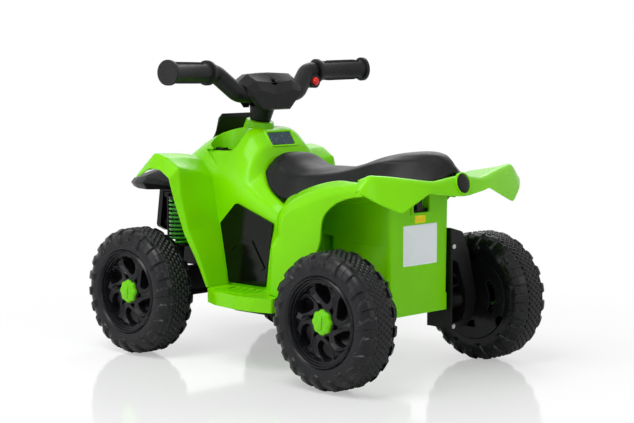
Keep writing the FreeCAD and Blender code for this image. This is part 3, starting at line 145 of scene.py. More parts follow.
class Tree:
    """Node tree of one material, or of the world."""

    def __init__(self, name: str, world: bool = False) -> None:
        """Makes the material or world and empties its tree."""
        self.owner = (bpy.data.worlds if world else bpy.data.materials).new(name)
        self.owner.use_nodes = True
        self.tree = self.owner.node_tree
        self.tree.nodes.clear()

    def node(self, kind: str, settings: dict | None = None, values: dict | None = None,
             out: int | str = 0) -> Sock:
        """Any node.

        Args:
            kind: the node's type.
            settings: attributes set first; "stops" holds a ramp's (place, grey) pairs.
            values: socket name or number to a value or a link.
            out: the output to hand back.
        Returns:
            The chosen output.
        """
        made = self.tree.nodes.new(kind)
        for key, value in (settings or {}).items():
            if key == "stops":
                ramp = made.color_ramp
                while len(ramp.elements) < len(value):
                    ramp.elements.new(0.5)
                for element, (place, tone) in zip(ramp.elements, value):
                    element.position = place
                    element.color = (tone, tone, tone, 1.0)
            else:
                setattr(made, key, value)
        for key, value in (values or {}).items():
            if isinstance(value, Sock):
                self.tree.links.new(value.socket, made.inputs[key])
            else:
                made.inputs[key].default_value = value
        return Sock(self, made.outputs[out])

    def place(self) -> Sock:
        """Object coordinates in metres."""
        return self.node("ShaderNodeTexCoord", out="Object")

    def noise(self, scale: float, detail: float = 3.0, rough: float = 0.5) -> Sock:
        """Noise on the object's own coordinates."""
        return self.node("ShaderNodeTexNoise", {}, {"Vector": self.place(), "Scale": scale,
                                                    "Detail": detail, "Roughness": rough})

    def ramp(self, value: Sock, *stops: Pair) -> Sock:
        """Grey ramp through the stops."""
        return self.node("ShaderNodeValToRGB", {"stops": list(stops)}, {0: value})

    def tint(self, mask: Sock, a: Sequence[float], b: Sequence[float]) -> Sock:
        """Colour between two colours by a mask."""
        values = {0: mask, 6: (*a, 1.0), 7: (*b, 1.0)}
        return self.node("ShaderNodeMix", {"data_type": "RGBA"}, values, 2)

    def bump(self, height: Sock, strength: float, depth: float) -> Sock:
        """Bump from a height, its depth in millimetres."""
        return self.node("ShaderNodeBump", {}, {"Height": height, "Strength": strength,
                                                "Distance": depth * MM})

    def close(self, shader: Sock, output: str = "ShaderNodeOutputMaterial") -> None:
        """Leads a shader to the tree's output."""
        self.tree.links.new(shader.socket, self.tree.nodes.new(output).inputs[0])

    def finish(self, **values: "Sock | float | Sequence[float]") -> Material:
        """Principled shader as the surface.

        Args:
            values: socket names with _ for spaces.
        Returns:
            The material.
        """
        named = {key.replace("_", " "): value for key, value in values.items()}
        self.close(self.node("ShaderNodeBsdfPrincipled", {}, named))
        return self.owner


# Finishes


@dataclass(frozen=True)
class MouldedGloss:
    """Glossy injection-moulded plastic: faint flow marks, dust and fine scratches in the gloss."""

    name: str
    colour: Colour
    deep: Colour
    roughness: float = 0.24
    shine: float = 0.3
    scatter: float = 0.0
    scatter_reach: Colour = (0.004, 0.009, 0.001)
    flow_scale: float = 9.0
    haze_scale: float = 55.0
    haze_depth: float = 0.10
    scratch_scale: float = 420.0
    scratch_depth: float = 0.06
    ripple_scale: float = 160.0

    def make(self) -> Material:
        """Builds the material.

        Returns:
            The material.
        """
        t = Tree(self.name)
        flow = t.ramp(t.noise(self.flow_scale, 2.0), (0.35, 0.0), (0.7, 1.0))
        haze = t.noise(self.haze_scale, 4.0, 0.6)
        scratch = t.ramp(t.noise(self.scratch_scale, 2.0), (0.62, 0.0), (0.72, 1.0))
        ripple = t.noise(self.ripple_scale, 2.0)
        return t.finish(Base_Color=t.tint(flow, self.deep, self.colour),
                        Roughness=self.roughness + self.haze_depth * (haze - 0.5)
                        + self.scratch_depth * scratch,
                        Specular_IOR_Level=self.shine, Subsurface_Weight=self.scatter,
                        Subsurface_Radius=self.scatter_reach, Subsurface_Scale=0.5,
                        Normal=t.bump(ripple, 0.12, 0.05))


@dataclass(frozen=True)
class MouldedGrain:
    """Dark moulded plastic with a fine spark-eroded grain and rubbed high spots."""

    name: str
    colour: Colour
    worn: Colour
    roughness: float = 0.42
    shine: float = 0.35
    grain: float = 1500.0
    depth: float = 0.12
    strength: float = 0.35
    rub_scale: float = 26.0
    cloud_scale: float = 70.0

    def make(self) -> Material:
        """Builds the material.

        Returns:
            The material.
        """
        t = Tree(self.name)
        grain = t.node("ShaderNodeTexVoronoi", {}, {"Vector": t.place(), "Scale": self.grain})
        rub = t.ramp(t.noise(self.rub_scale, 5.0, 0.65), (0.5, 0.0), (0.78, 1.0))
        cloud = t.noise(self.cloud_scale, 3.0)
        return t.finish(Base_Color=t.tint(rub, self.colour, self.worn),
                        Roughness=self.roughness + 0.14 * (cloud - 0.5) - 0.05 * rub,
                        Specular_IOR_Level=self.shine,
                        Normal=t.bump(grain + 0.5 * cloud, self.strength, self.depth))


@dataclass(frozen=True)
class Steel:
    """Plated or drawn steel with fine turning lines and dull patches."""

    name: str
    colour: Colour
    roughness: float = 0.3
    patch_scale: float = 90.0
    line_scale: float = 900.0
    dulling: float = 0.7

    def make(self) -> Material:
        """Builds the material.

        Returns:
            The material.
        """
        t = Tree(self.name)
        patch = t.noise(self.patch_scale, 5.0, 0.7)
        dull = tuple(self.dulling * c for c in self.colour)
        return t.finish(Base_Color=t.tint(patch, dull, self.colour), Metallic=1.0,
                        Roughness=self.roughness + 0.25 * (patch - 0.5),
                        Normal=t.bump(t.noise(self.line_scale, 2.0), 0.2, 0.03))


@dataclass(frozen=True)
class Clear:
    """Clear lens plastic."""

    name: str
    colour: Colour
    see_through: float
    smear_scale: float = 120.0

    def make(self) -> Material:
        """Builds the material.

        Returns:
            The material.
        """
        t = Tree(self.name)
        smear = t.noise(self.smear_scale, 3.0)
        dull = tuple(0.93 * c for c in self.colour)
        return t.finish(Base_Color=t.tint(smear, self.colour, dull), Roughness=0.05 + 0.05 * smear,
                        Transmission_Weight=self.see_through, IOR=1.49, Coat_Weight=0.4,
                        Normal=t.bump(smear, 0.05, 0.05))


@dataclass(frozen=True)
class Screen:
    """Dark printed panel with a generic set of dials and bars under gloss."""

    name: str
    dark: Colour = (0.008, 0.022, 0.034)
    pale: Colour = (0.022, 0.06, 0.085)
    lit: Colour = (0.5, 0.6, 0.62)
    mark_scale: float = 210.0
    sheen_scale: float = 60.0

    def make(self) -> Material:
        """Builds the material.

        Returns:
            The material.
        """
        t = Tree(self.name)
        cells = t.node("ShaderNodeTexVoronoi", {}, {"Vector": t.place(), "Scale": self.mark_scale})
        marks = t.ramp(cells, (0.10, 1.0), (0.16, 0.0))
        sheen = t.noise(self.sheen_scale, 2.0)
        values = {0: 0.6 * marks, 6: t.tint(sheen, self.dark, self.pale), 7: (*self.lit, 1.0)}
        panel = t.node("ShaderNodeMix", {"data_type": "RGBA"}, values, 2)
        return t.finish(Base_Color=panel, Roughness=0.22 + 0.1 * sheen, Specular_IOR_Level=0.3,
                        Normal=t.bump(marks, 0.1, 0.05))


class Finishes:
    """Every finish of the bike, made once."""

    def __init__(self) -> None:
        """Makes the materials."""
        self.green = MouldedGloss("body_green", (0.215, 0.70, 0.0), (0.19, 0.63, 0.0), shine=0.16,
                                  scatter=0.06).make()
        self.cap_green = MouldedGloss("cap_green", (0.18, 0.62, 0.002), (0.13, 0.52, 0.0), 0.28,
                                      0.2).make()
        self.spring_green = MouldedGloss("spring_green", (0.035, 0.42, 0.006),
                                         (0.025, 0.34, 0.002)).make()
        self.red = MouldedGloss("button_red", (0.85, 0.02, 0.01), (0.7, 0.012, 0.008)).make()
        self.yellow = MouldedGloss("plate_yellow", (1.0, 0.76, 0.0), (0.93, 0.68, 0.0),
                                   shine=0.2).make()
        self.blank = MouldedGloss("plate_pale", (0.9, 0.93, 0.98), (0.84, 0.87, 0.92), 0.35,
                                  0.2).make()
        self.gloss_black = MouldedGloss("panel_black", (0.003, 0.005, 0.002),
                                        (0.002, 0.003, 0.001), 0.12, 0.2).make()
        self.black = MouldedGrain("trim_black", (0.004, 0.004, 0.0045), (0.009, 0.009, 0.010),
                                  shine=0.22).make()
        self.seat = MouldedGrain("saddle_black", (0.0065, 0.0065, 0.007), (0.012, 0.012, 0.013),
                                 shine=0.16, grain=900.0, depth=0.2, strength=0.25).make()
        self.tyre = MouldedGrain("tyre_black", (0.005, 0.005, 0.0065), (0.011, 0.011, 0.013), 0.3,
                                 0.24, grain=1100.0, strength=0.2).make()
        self.rubber = MouldedGrain("grip_black", (0.007, 0.007, 0.008), (0.012, 0.012, 0.013),
                                   0.46, 0.25).make()
        self.nylon = MouldedGrain("gear_nylon", (0.72, 0.70, 0.62), (0.6, 0.58, 0.5), 0.4).make()
        self.case = MouldedGrain("battery_case", (0.05, 0.05, 0.055), (0.08, 0.08, 0.085)).make()
        self.steel = Steel("plated_steel", (0.62, 0.63, 0.66)).make()
        self.can = Steel("motor_steel", (0.4, 0.41, 0.43), 0.42).make()
        self.lens = Clear("lamp_lens", (0.9, 0.94, 1.0), 0.85).make()
        self.screen = Screen("dash_screen").make()


# Curves and skins


def unit(v: np.ndarray) -> np.ndarray:
    """Vector of length one, or zero for none."""
    length = float(np.linalg.norm(v))
    return v / length if length > TINY else v * 0.0


def flow_line(points: np.ndarray, rounding: Sequence[float], steps: int) -> np.ndarray:
    """Smooth line through points.

    Args:
        points: the points, one a row.
        rounding: for each point 0 where the line runs smoothly through it, else the radius of
            a crease there.
        steps: samples in each span.
    Returns:
        The sampled line.
    """
    knots: list[np.ndarray] = []
    slopes: list[np.ndarray | None] = []
    corner: list[bool] = []
    last = len(points) - 1
    for i, p in enumerate(points):
        if rounding[i] > 0 and 0 < i < last:
            before, after = p - points[i - 1], points[i + 1] - p
            a = min(rounding[i], CREASE_SHARE * float(np.linalg.norm(before)))
            b = min(rounding[i], CREASE_SHARE * float(np.linalg.norm(after)))
            knots += [p - unit(before) * a, p + unit(after) * b]
            slopes += [unit(before), unit(after)]
            corner += [True, False]
        else:
            knots.append(p)
            slopes.append(None)
            corner.append(False)
    tangents = []
    for i, p in enumerate(knots):
        if slopes[i] is not None:
            tangents.append(slopes[i])
        elif i == 0:
            tangents.append(unit(knots[1] - p))
        elif i == len(knots) - 1:
            tangents.append(unit(p - knots[i - 1]))
        else:
            d0 = float(np.linalg.norm(p - knots[i - 1])) + TINY
            d1 = float(np.linalg.norm(knots[i + 1] - p)) + TINY
            tangents.append(unit((p - knots[i - 1]) / d0 * d1 + (knots[i + 1] - p) / d1 * d0))
    line = [knots[0]]
    for i in range(len(knots) - 1):
        a, b = knots[i], knots[i + 1]
        length = float(np.linalg.norm(b - a))
        count = CREASE_STEPS if corner[i] else steps
        for k in range(1, count + 1):
            u = k / count
            line.append((2 * u**3 - 3 * u**2 + 1) * a + (u**3 - 2 * u**2 + u) * length * tangents[i]
                        + (3 * u**2 - 2 * u**3) * b + (u**3 - u**2) * length * tangents[i + 1])
    return np.array(line)


def skin(rows: Sequence[Line], across: Sequence[float], along: Sequence[float],
         steps: tuple[int, int]) -> np.ndarray:
    """Smooth surface through rows of points.

    Args:
        rows: lines with the same number of points.
        across: rounding of each point in a row, as in flow_line.
        along: rounding of each row.
        steps: samples in each span across and along.
    Returns:
        Array of rows by columns by 3.
    """
    stack = np.array([flow_line(np.array(row, dtype=float), across, steps[0]) for row in rows])
    lines = [flow_line(stack[:, j], along, steps[1]) for j in range(stack.shape[1])]
    return np.array(lines).transpose(1, 0, 2)


def grid_normals(grid: np.ndarray) -> np.ndarray:
    """Unit normals of a grid of points.

    Args:
        grid: rows by columns by 3.
    Returns:
        Normals in the same layout.
    """
    n = np.cross(np.gradient(grid, axis=0), np.gradient(grid, axis=1))
    return n / np.maximum(np.linalg.norm(n, axis=2, keepdims=True), TINY)


def grid_faces(rows: int, cols: int, start: int = 0, flip: bool = False) -> Faces:
    """Quads of a grid of vertices.

    Args:
        rows: rows of vertices.
        cols: vertices in a row.
        start: number of the first vertex.
        flip: turns every quad over.
    Returns:
        The quads.
    """
    quads = [(a, a + 1, a + cols + 1, a + cols) for i in range(rows - 1)
             for a in range(start + i * cols, start + (i + 1) * cols - 1)]
    return [quad[::-1] for quad in quads] if flip else quads


def walled(grid: np.ndarray, wall: float, sense: int = 1) -> Shape:
    """Sheet of a grid with thickness and a rounded rim.

    Args:
        grid: the outer surface.
        wall: the thickness, laid under the surface.
        sense: 1 or -1, the side on which the outer surface looks.
    Returns:
        Vertices and faces.
    """
    rows, cols = grid.shape[:2]
    n = grid_normals(grid) * sense
    inner = grid - n * wall
    points = [grid.reshape(-1, 3), inner.reshape(-1, 3)]
    half = rows * cols
    faces = grid_faces(rows, cols, 0, sense < 0) + grid_faces(rows, cols, half, sense > 0)
    edge = [(i, 0) for i in range(rows)] + [(rows - 1, j) for j in range(1, cols)]
    edge += [(i, cols - 1) for i in range(rows - 2, -1, -1)]
    edge += [(0, j) for j in range(cols - 2, 0, -1)]
    middle = []
    centre = grid.mean(axis=(0, 1))
    for i, j in edge:
        a, b = min(max(i, 1), rows - 2), min(max(j, 1), cols - 2)
        out = unit(grid[i, j] - grid[a, b]) if (i, j) != (a, b) else unit(grid[i, j] - centre)
        middle.append(grid[i, j] - n[i, j] * wall / 2 + out * wall * RIM_BULGE)
    points.append(np.array(middle))
    base = 2 * half
    count = len(edge)
    for k in range(count):
        m = (k + 1) % count
        a, b = edge[k][0] * cols + edge[k][1], edge[m][0] * cols + edge[m][1]
        upper = (a, b, base + m, base + k)
        lower = (base + k, base + m, half + b, half + a)
        faces += [upper[::-1], lower[::-1]] if sense < 0 else [upper, lower]
    return np.concatenate(points), faces


def loft(sections: Sequence[np.ndarray], caps: bool = True) -> Shape:
    """Closed rings joined into a skin.

    Args:
        sections: rings with the same number of points.
        caps: closes both ends with a flat face.
    Returns:
        Vertices and faces.
    """
    count = len(sections[0])
    points = np.concatenate(sections)
    faces: Faces = [(i * count + j, i * count + (j + 1) % count, (i + 1) * count + (j + 1) % count,
                     (i + 1) * count + j) for i in range(len(sections) - 1) for j in range(count)]
    if caps:
        faces.append(tuple(range(count))[::-1])
        faces.append(tuple(range(len(points) - count, len(points))))
    return points, faces


def joined(parts: Sequence[Shape]) -> Shape:
    """Several meshes as one.

    Args:
        parts: the meshes.
    Returns:
        Vertices and faces.
    """
    points, faces, base = [], [], 0
    for more, polygons in parts:
        points.append(more)
        faces += [tuple(i + base for i in face) for face in polygons]
        base += len(more)
    return np.concatenate(points), faces


def about_x(x: np.ndarray, r: np.ndarray, angle: np.ndarray) -> np.ndarray:
    """Points at a radius and an angle about the X axis."""
    return np.stack([x, r * np.cos(angle), r * np.sin(angle)], axis=-1)


def circle(count: int) -> np.ndarray:
    """Evenly spaced angles of a full turn."""
    return 2 * math.pi * np.arange(count) / count


def mirrored_line(half: Sequence[Pair]) -> list[Pair]:
    """A line given by its half from the middle outwards, made whole."""
    return [(-x, z) for x, z in half[:0:-1]] + list(half)


def tub(at: Point, low: Pair, high: Pair, rise: float, power: float = 2.6) -> Shape:
    """Upright tapered tub with a rounded-box outline.

    Args:
        at: centre of its floor.
        low: half width and half length of the floor.
        high: the same at the top.
        rise: height.
        power: 2 gives an ellipse, more a fuller outline.
    Returns:
        Vertices and faces.
    """
    count = 72
    a = 2 * math.pi * (np.arange(count) + 0.5) / count
    wide = np.sign(np.cos(a)) * np.abs(np.cos(a)) ** (2 / power)
    deep = np.sign(np.sin(a)) * np.abs(np.sin(a)) ** (2 / power)
    return loft([np.stack([at[0] + half[0] * wide, at[1] + half[1] * deep,
                           np.full(count, at[2] + h)], axis=1)
                 for half, h in ((low, 0.0), (high, rise))])


def turned(centre: Sequence[float], out: Sequence[float], profile: Sequence[Pair],
           count: int = 48) -> Shape:
    """Turned closed shape about a line in the middle plane.

    Args:
        centre: where the line starts.
        out: the line's direction.
        profile: (radius, rise) points.
        count: points round it.
    Returns:
        Vertices and faces.
    """
    axis = unit(np.array(out, dtype=float))
    across = np.array([1.0, 0.0, 0.0])
    up = np.cross(axis, across)
    a = circle(count)
    return loft([np.array(centre) + r * (np.cos(a)[:, None] * across + np.sin(a)[:, None] * up)
                 + h * axis for r, h in profile])


def framed(middle: Sequence[float], down: Sequence[float], out: Sequence[float],
           rings: Sequence[Point], corner: float) -> Shape:
    """Rounded rectangles joined in turn.

    Args:
        middle: centre of the rectangle.
        down: direction of its height.
        out: direction in which it looks.
        rings: half width, half height and rise of each rectangle.
        corner: radius of the corners.
    Returns:
        Vertices and faces, closed at both ends.
    """
    across = np.array([1.0, 0.0, 0.0])
    down, out = unit(np.array(down, dtype=float)), unit(np.array(out, dtype=float))
    lines = []
    for half, reach, rise in rings:
        r = min(corner, 0.9 * half, 0.9 * reach)
        line = []
        for a, b, turn in ((1, 1, 0), (-1, 1, 90), (-1, -1, 180), (1, -1, 270)):
            for k in range(4):
                w = math.radians(turn + 30 * k)
                line.append(np.array(middle) + across * (a * (half - r) + r * math.cos(w))
                            + down * (b * (reach - r) + r * math.sin(w)) + out * rise)
        lines.append(np.array(line))
    return loft(lines)


def fan(x: float, r: float, turn: float, centre: Pair, sense: int) -> Point:
    """Point on a half plane through an axle, turned up from the horizontal."""
    a = math.radians(turn)
    return (x, centre[0] + sense * r * math.cos(a), centre[1] + r * math.sin(a))


def outward(sign: float, at: Sequence[float]) -> Matrix:
    """Place of a wheel's piece at a point, turned half round on the right side."""
    turn = Matrix.Rotation(math.pi, 4, "Z") if sign < 0 else Matrix.Identity(4)
    return Matrix.Translation(tuple(c * MM for c in at)) @ turn


def smooth(mesh: bpy.types.Mesh, sharp: float) -> None:
    """Smooth shading, except over edges sharper than an angle in degrees."""
    mesh.polygons.foreach_set("use_smooth", [True] * len(mesh.polygons))
    mesh.set_sharp_from_angle(angle=math.radians(sharp))


def put(name: str, data: bpy.types.ID) -> Thing:
    """Object with this data, in the scene.

    Args:
        name: the object's name.
        data: its mesh, lamp or camera.
    Returns:
        The object.
    """
    made = bpy.data.objects.new(name, data)
    bpy.context.scene.collection.objects.link(made)
    return made


@dataclass
class Maker:
    """Turns points and faces into pieces that ride on the CAD bodies."""

    finishes: Finishes
    made: int = 0
    shared: dict[str, bpy.types.Mesh] = field(default_factory=dict)

    def mesh(self, name: str, shape: Shape) -> bpy.types.Mesh:
        """Closed mesh whose faces look outwards.

        Args:
            name: the mesh's name.
            shape: vertices in millimetres, and faces.
        Returns:
            The mesh.
        """
        mesh = bpy.data.meshes.new(name)
        mesh.from_pydata([tuple(float(c) * MM for c in p) for p in shape[0]], [],
                         [tuple(f) for f in shape[1]])
        mesh.validate()
        work = bmesh.new()
        work.from_mesh(mesh)
        bmesh.ops.recalc_face_normals(work, faces=work.faces)
        work.to_mesh(mesh)
        work.free()
        return mesh

    def piece(self, name: str, body: str, shape: Shape, material: Material, slot: str,
              replaces: Sequence[str] = (), sharp: float = 38.0, share: str = "",
              place: Matrix | None = None) -> Thing:
        """One piece.

        Args:
            name: the piece's name.
            body: the CAD body that it rides on.
            shape: vertices in millimetres, and faces.
            material: its finish.
            slot: the record's material slot; not used.
            replaces: CAD nodes that it stands for.
            sharp: angle in degrees over which an edge stays sharp.
            share: name under which pieces of one shape share a mesh.
            place: where the mesh goes.
        Returns:
            The object.
        """
        mesh = self.shared.get(share)
        if mesh is None:
            mesh = self.mesh(name, shape)
            smooth(mesh, sharp)
            mesh.materials.append(material)
        if share:
            self.shared[share] = mesh
        made = put(name, mesh)
        if place is not None:
            made.matrix_world = place
        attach(made, body)
        if replaces:
            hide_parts(*replaces)
        self.made += 1
        LOG.info("piece %s on %s: %d faces", name, body, len(mesh.polygons))
        return made

    def solid(self, shape: Shape) -> Thing:
        """A helper solid for cutting or joining, kept only until carve() is done."""
        return put("helper", self.mesh("helper", shape))

    def carve(self, made: Thing, added: Sequence[Thing] = (), cut: Sequence[Thing] = (),
              kept: Sequence[Thing] = (), sharp: float = 30.0) -> None:
        """Joins solids to a piece, cuts others out of it and keeps the result as its mesh.

        Args:
            made: the piece.
            added: solids that are joined to it first.
            cut: solids that are then taken away.
            kept: solids outside which nothing of the piece stays.
            sharp: angle in degrees over which an edge stays sharp.
        """
        for kind, tools in (("UNION", added), ("DIFFERENCE", cut), ("INTERSECT", kept)):
            for tool in tools:
                step = made.modifiers.new(kind.lower(), "BOOLEAN")
                step.operation = kind
                step.solver = "EXACT"
                step.object = tool
        bpy.context.view_layer.update()
        graph = bpy.context.evaluated_depsgraph_get()
        shaped = bpy.data.meshes.new_from_object(made.evaluated_get(graph))
        smooth(shaped, sharp)
        made.modifiers.clear()
        made.data = shaped
        for tool in (*added, *cut, *kept):
            bpy.data.objects.remove(tool)

    def soften(self, made: Thing, width: float, weld: bool = False) -> None:
        """Bevel on an object's sharp edges.

        Args:
            made: the object.
            width: width of the bevel.
            weld: joins vertices in one place first.
        """
        if weld:
            made.modifiers.new("weld", "WELD").merge_threshold = WELD_GAP * MM
        bevel = made.modifiers.new("bevel", "BEVEL")
        bevel.width = width * MM
        bevel.segments = 2
        bevel.limit_method = "ANGLE"
        bevel.angle_limit = math.radians(BEVEL_ANGLE)


# Sub-assemblies


@dataclass
class Assembly:
    """A sub-assembly and the maker of its pieces."""

    maker: Maker

    def green(self, name: str, shape: Shape, replaces: Sequence[str] = ()) -> Thing:
        """A green piece of the body."""
        return self.maker.piece(name, "frame", shape, self.maker.finishes.green, "body_green",
                                replaces)


@dataclass
class FrontShell(Assembly):
    """Hood, fenders, collar and bezel of the front moulding."""

    wall: float = 3.0
    axle: Pair = FRONT_AXLE
    rake: float = 12.2
    fender: tuple = (
        (6, ((84, 120), (93, 120), (112, 117), (127, 114), (128, 111))),
        (24, ((84, 124), (92, 124), (113, 121), (137, 119), (138, 113))),
        (45, ((84, 143), (96, 143), (122, 140), (152, 138), (154, 130))),
        (58, ((84, 172), (104, 175), (134, 177), (162, 178), (169, 167))),
        (64, ((84, 192), (110, 197), (136, 204), (164, 210.5), (176, 194))),
        (72, ((84, 205), (116, 211), (140, 212), (167, 214), (173, 195))),
        (79, ((84, 205), (112, 209), (140, 211), (166, 212), (172, 190))),
        (88.7, ((84, 188), (110, 186), (140, 183), (163, 180), (170, 172))),
    )
    hood: tuple = (
        (-196, ((0, 281), (46, 280), (68, 270), (82, 256), (88, 250), (91, 245))),
        (-176, ((0, 305), (48, 304), (72, 292), (88, 272), (92, 264), (94, 256))),
        (-146, ((0, 323), (52, 320), (77, 304), (93, 284), (95, 276), (96, 263))),
        (-120, ((0, 332), (52, 329), (78, 309), (94, 284), (95, 273), (95, 256))),
        (-99, ((0, 335), (50, 333), (75, 306), (91, 272), (93, 240), (93, 205))),
        (-66, ((0, 336), (42, 334), (71, 305), (89, 265), (92, 200), (92, 108.4))),
        (-43, ((0, 312), (44, 310), (68, 292), (86, 260), (92, 200), (92, 108.4))),
        (-32, ((0, 276), (48, 276), (64, 272), (84, 254), (92, 200), (92, 108.4))),
        (-4, ((0, 246), (56, 246), (69, 251), (86, 238), (92, 200), (92, 108.4))),
        (22, ((0, 230), (60, 230), (75, 238), (86, 227), (92, 196), (92, 108.4))),
        (31, ((0, 226), (60, 226), (75, 233), (85, 222), (90, 192), (90, 108.4))),
    )
    bowl: Point = (57.0, -104.0, 304.0)
    bowl_floor: Pair = (21.0, 27.0)
    bowl_top: Pair = (25.5, 29.5)
    switch: Point = (60.0, -116.0, 290.0)
    dash: Point = (0.0, -50.5, 321.5)
    dash_lean: float = 56.0
    facet: tuple[Point, Point, Point] = ((79.4, -128.4, 305.7), (86.8, -98.3, 282.1),
                                         (70.0, -79.2, 307.5))
    facet_out: Point = (0.75, 0.1, 0.65)
    slot_half: Pair = (8.2, 11.2)
    bed_half: Pair = (24.2, 11.2)
    bowl_rise: float = 44.0
    lining_rise: float = 40.0
    lining_sink: float = 0.4
    edge: float = 0.9

    def build(self) -> None:
        """Makes the moulding's pieces."""
        rows = [[(x, y, z) for x, z in mirrored_line(half)] for y, half in self.hood]
        across = [0, 0, 0, 10, 0, 0, 0, 10, 0, 0, 0]
        along = [0, 0, 0, 0, 0, 10, 5, 4, 0, 0, 0]
        grid = skin(rows, across, along, (6, 6))
        hood = self.green("hood_skin", walled(grid, self.wall, -1), ["front_body_shell"])
        self.hollow(hood, grid)
        self.maker.soften(hood, self.edge)
        for side in Side:
            s = side.value
            rows = [[fan(s * x, r, turn, self.axle, 1) for x, r in line]
                    for turn, line in self.fender]
            grid = skin(rows, [0, 4, 5, 2.5, 0], [0, 0, 3, 4, 3, 4, 3, 0], (6, 6))
            self.green(f"front_fender_{side.name.lower()}", walled(grid, self.wall, s))
        self.collar()
        self.bezel()

    def hollow(self, hood: Thing, grid: np.ndarray) -> None:
        """Sinks the bowl beside the column, the facet below it and the screen's bed into the hood.

        Args:
            hood: the hood's piece.
            grid: the hood's outer surface, within which the bowl's walls stay.
        """
        x, y, z = self.bowl
        lining = [(a + self.wall, b + self.wall) for a, b in (self.bowl_floor, self.bowl_top)]
        within = list(grid + grid_normals(grid) * self.lining_sink)
        first, low, last = (np.array(p) for p in self.facet)
        out = unit(np.array(self.facet_out))
        prism = [(0, 1, 2), (5, 4, 3), (0, 3, 4, 1), (1, 4, 5, 2), (2, 5, 3, 0)]
        middle = (first + low + last) / 3
        back = np.array([middle + 1.25 * (p - middle) for p in (first, low, last)])
        walls = []
        for shape in (tub((x, y, z - self.wall), *lining, self.lining_rise),
                      (np.concatenate([back - 9 * out, back + 12 * out]), prism)):
            wall = self.maker.solid(shape)
            self.maker.carve(wall, kept=[self.maker.solid(loft(within))])
            walls.append(wall)
        bowl = self.maker.solid(tub(self.bowl, self.bowl_floor, self.bowl_top, self.bowl_rise))
        slot = self.maker.solid(tub(self.switch, self.slot_half, self.slot_half, 20.0, 12.0))
        base = np.array([first - 4.0 * out, low, last - 4.0 * out])
        notch = self.maker.solid((np.concatenate([base, base + 25 * out]), prism))
        pit = ((*self.bed_half, -1.3), (*self.bed_half, 14.0))
        bed = self.maker.solid(framed(self.dash, *self.slope(), pit, 1.0))
        self.maker.carve(hood, walls, [bowl, slot, notch, bed])

    def slope(self) -> tuple[np.ndarray, np.ndarray]:
        """Directions down the dash and out of it."""
        c, s = math.cos(math.radians(self.dash_lean)), math.sin(math.radians(self.dash_lean))
        return (np.array([0, c, -s]), np.array([0, s, c]))

    def collar(self) -> None:
        """Turned collar round the column, its foot flared into the hood."""
        profile = [(32, -4), (28.5, 0), (26.4, 3), (24.4, 10), (21.6, 23.5), (21.0, 25.4),
                   (20.0, 26), (13.0, 26), (12, 25), (12, 0)]
        lean = math.radians(self.rake)
        out = (0, math.sin(lean), math.cos(lean))
        self.green("column_collar", turned((0, -101, 322), out, profile, 64))

    def bezel(self) -> None:
        """Raised frame round the dash screen."""
        rings = [(29, 15, -4), (28.4, 14.4, 0.8), (27.6, 13.6, 1.6), (25.4, 12.2, 1.6),
                 (24.4, 11.2, 0.9), (24.0, 10.8, -1.0)]
        points, faces = framed(self.dash, *self.slope(), rings, 2.0)
        self.green("dash_bezel", (points, faces[:-2]))


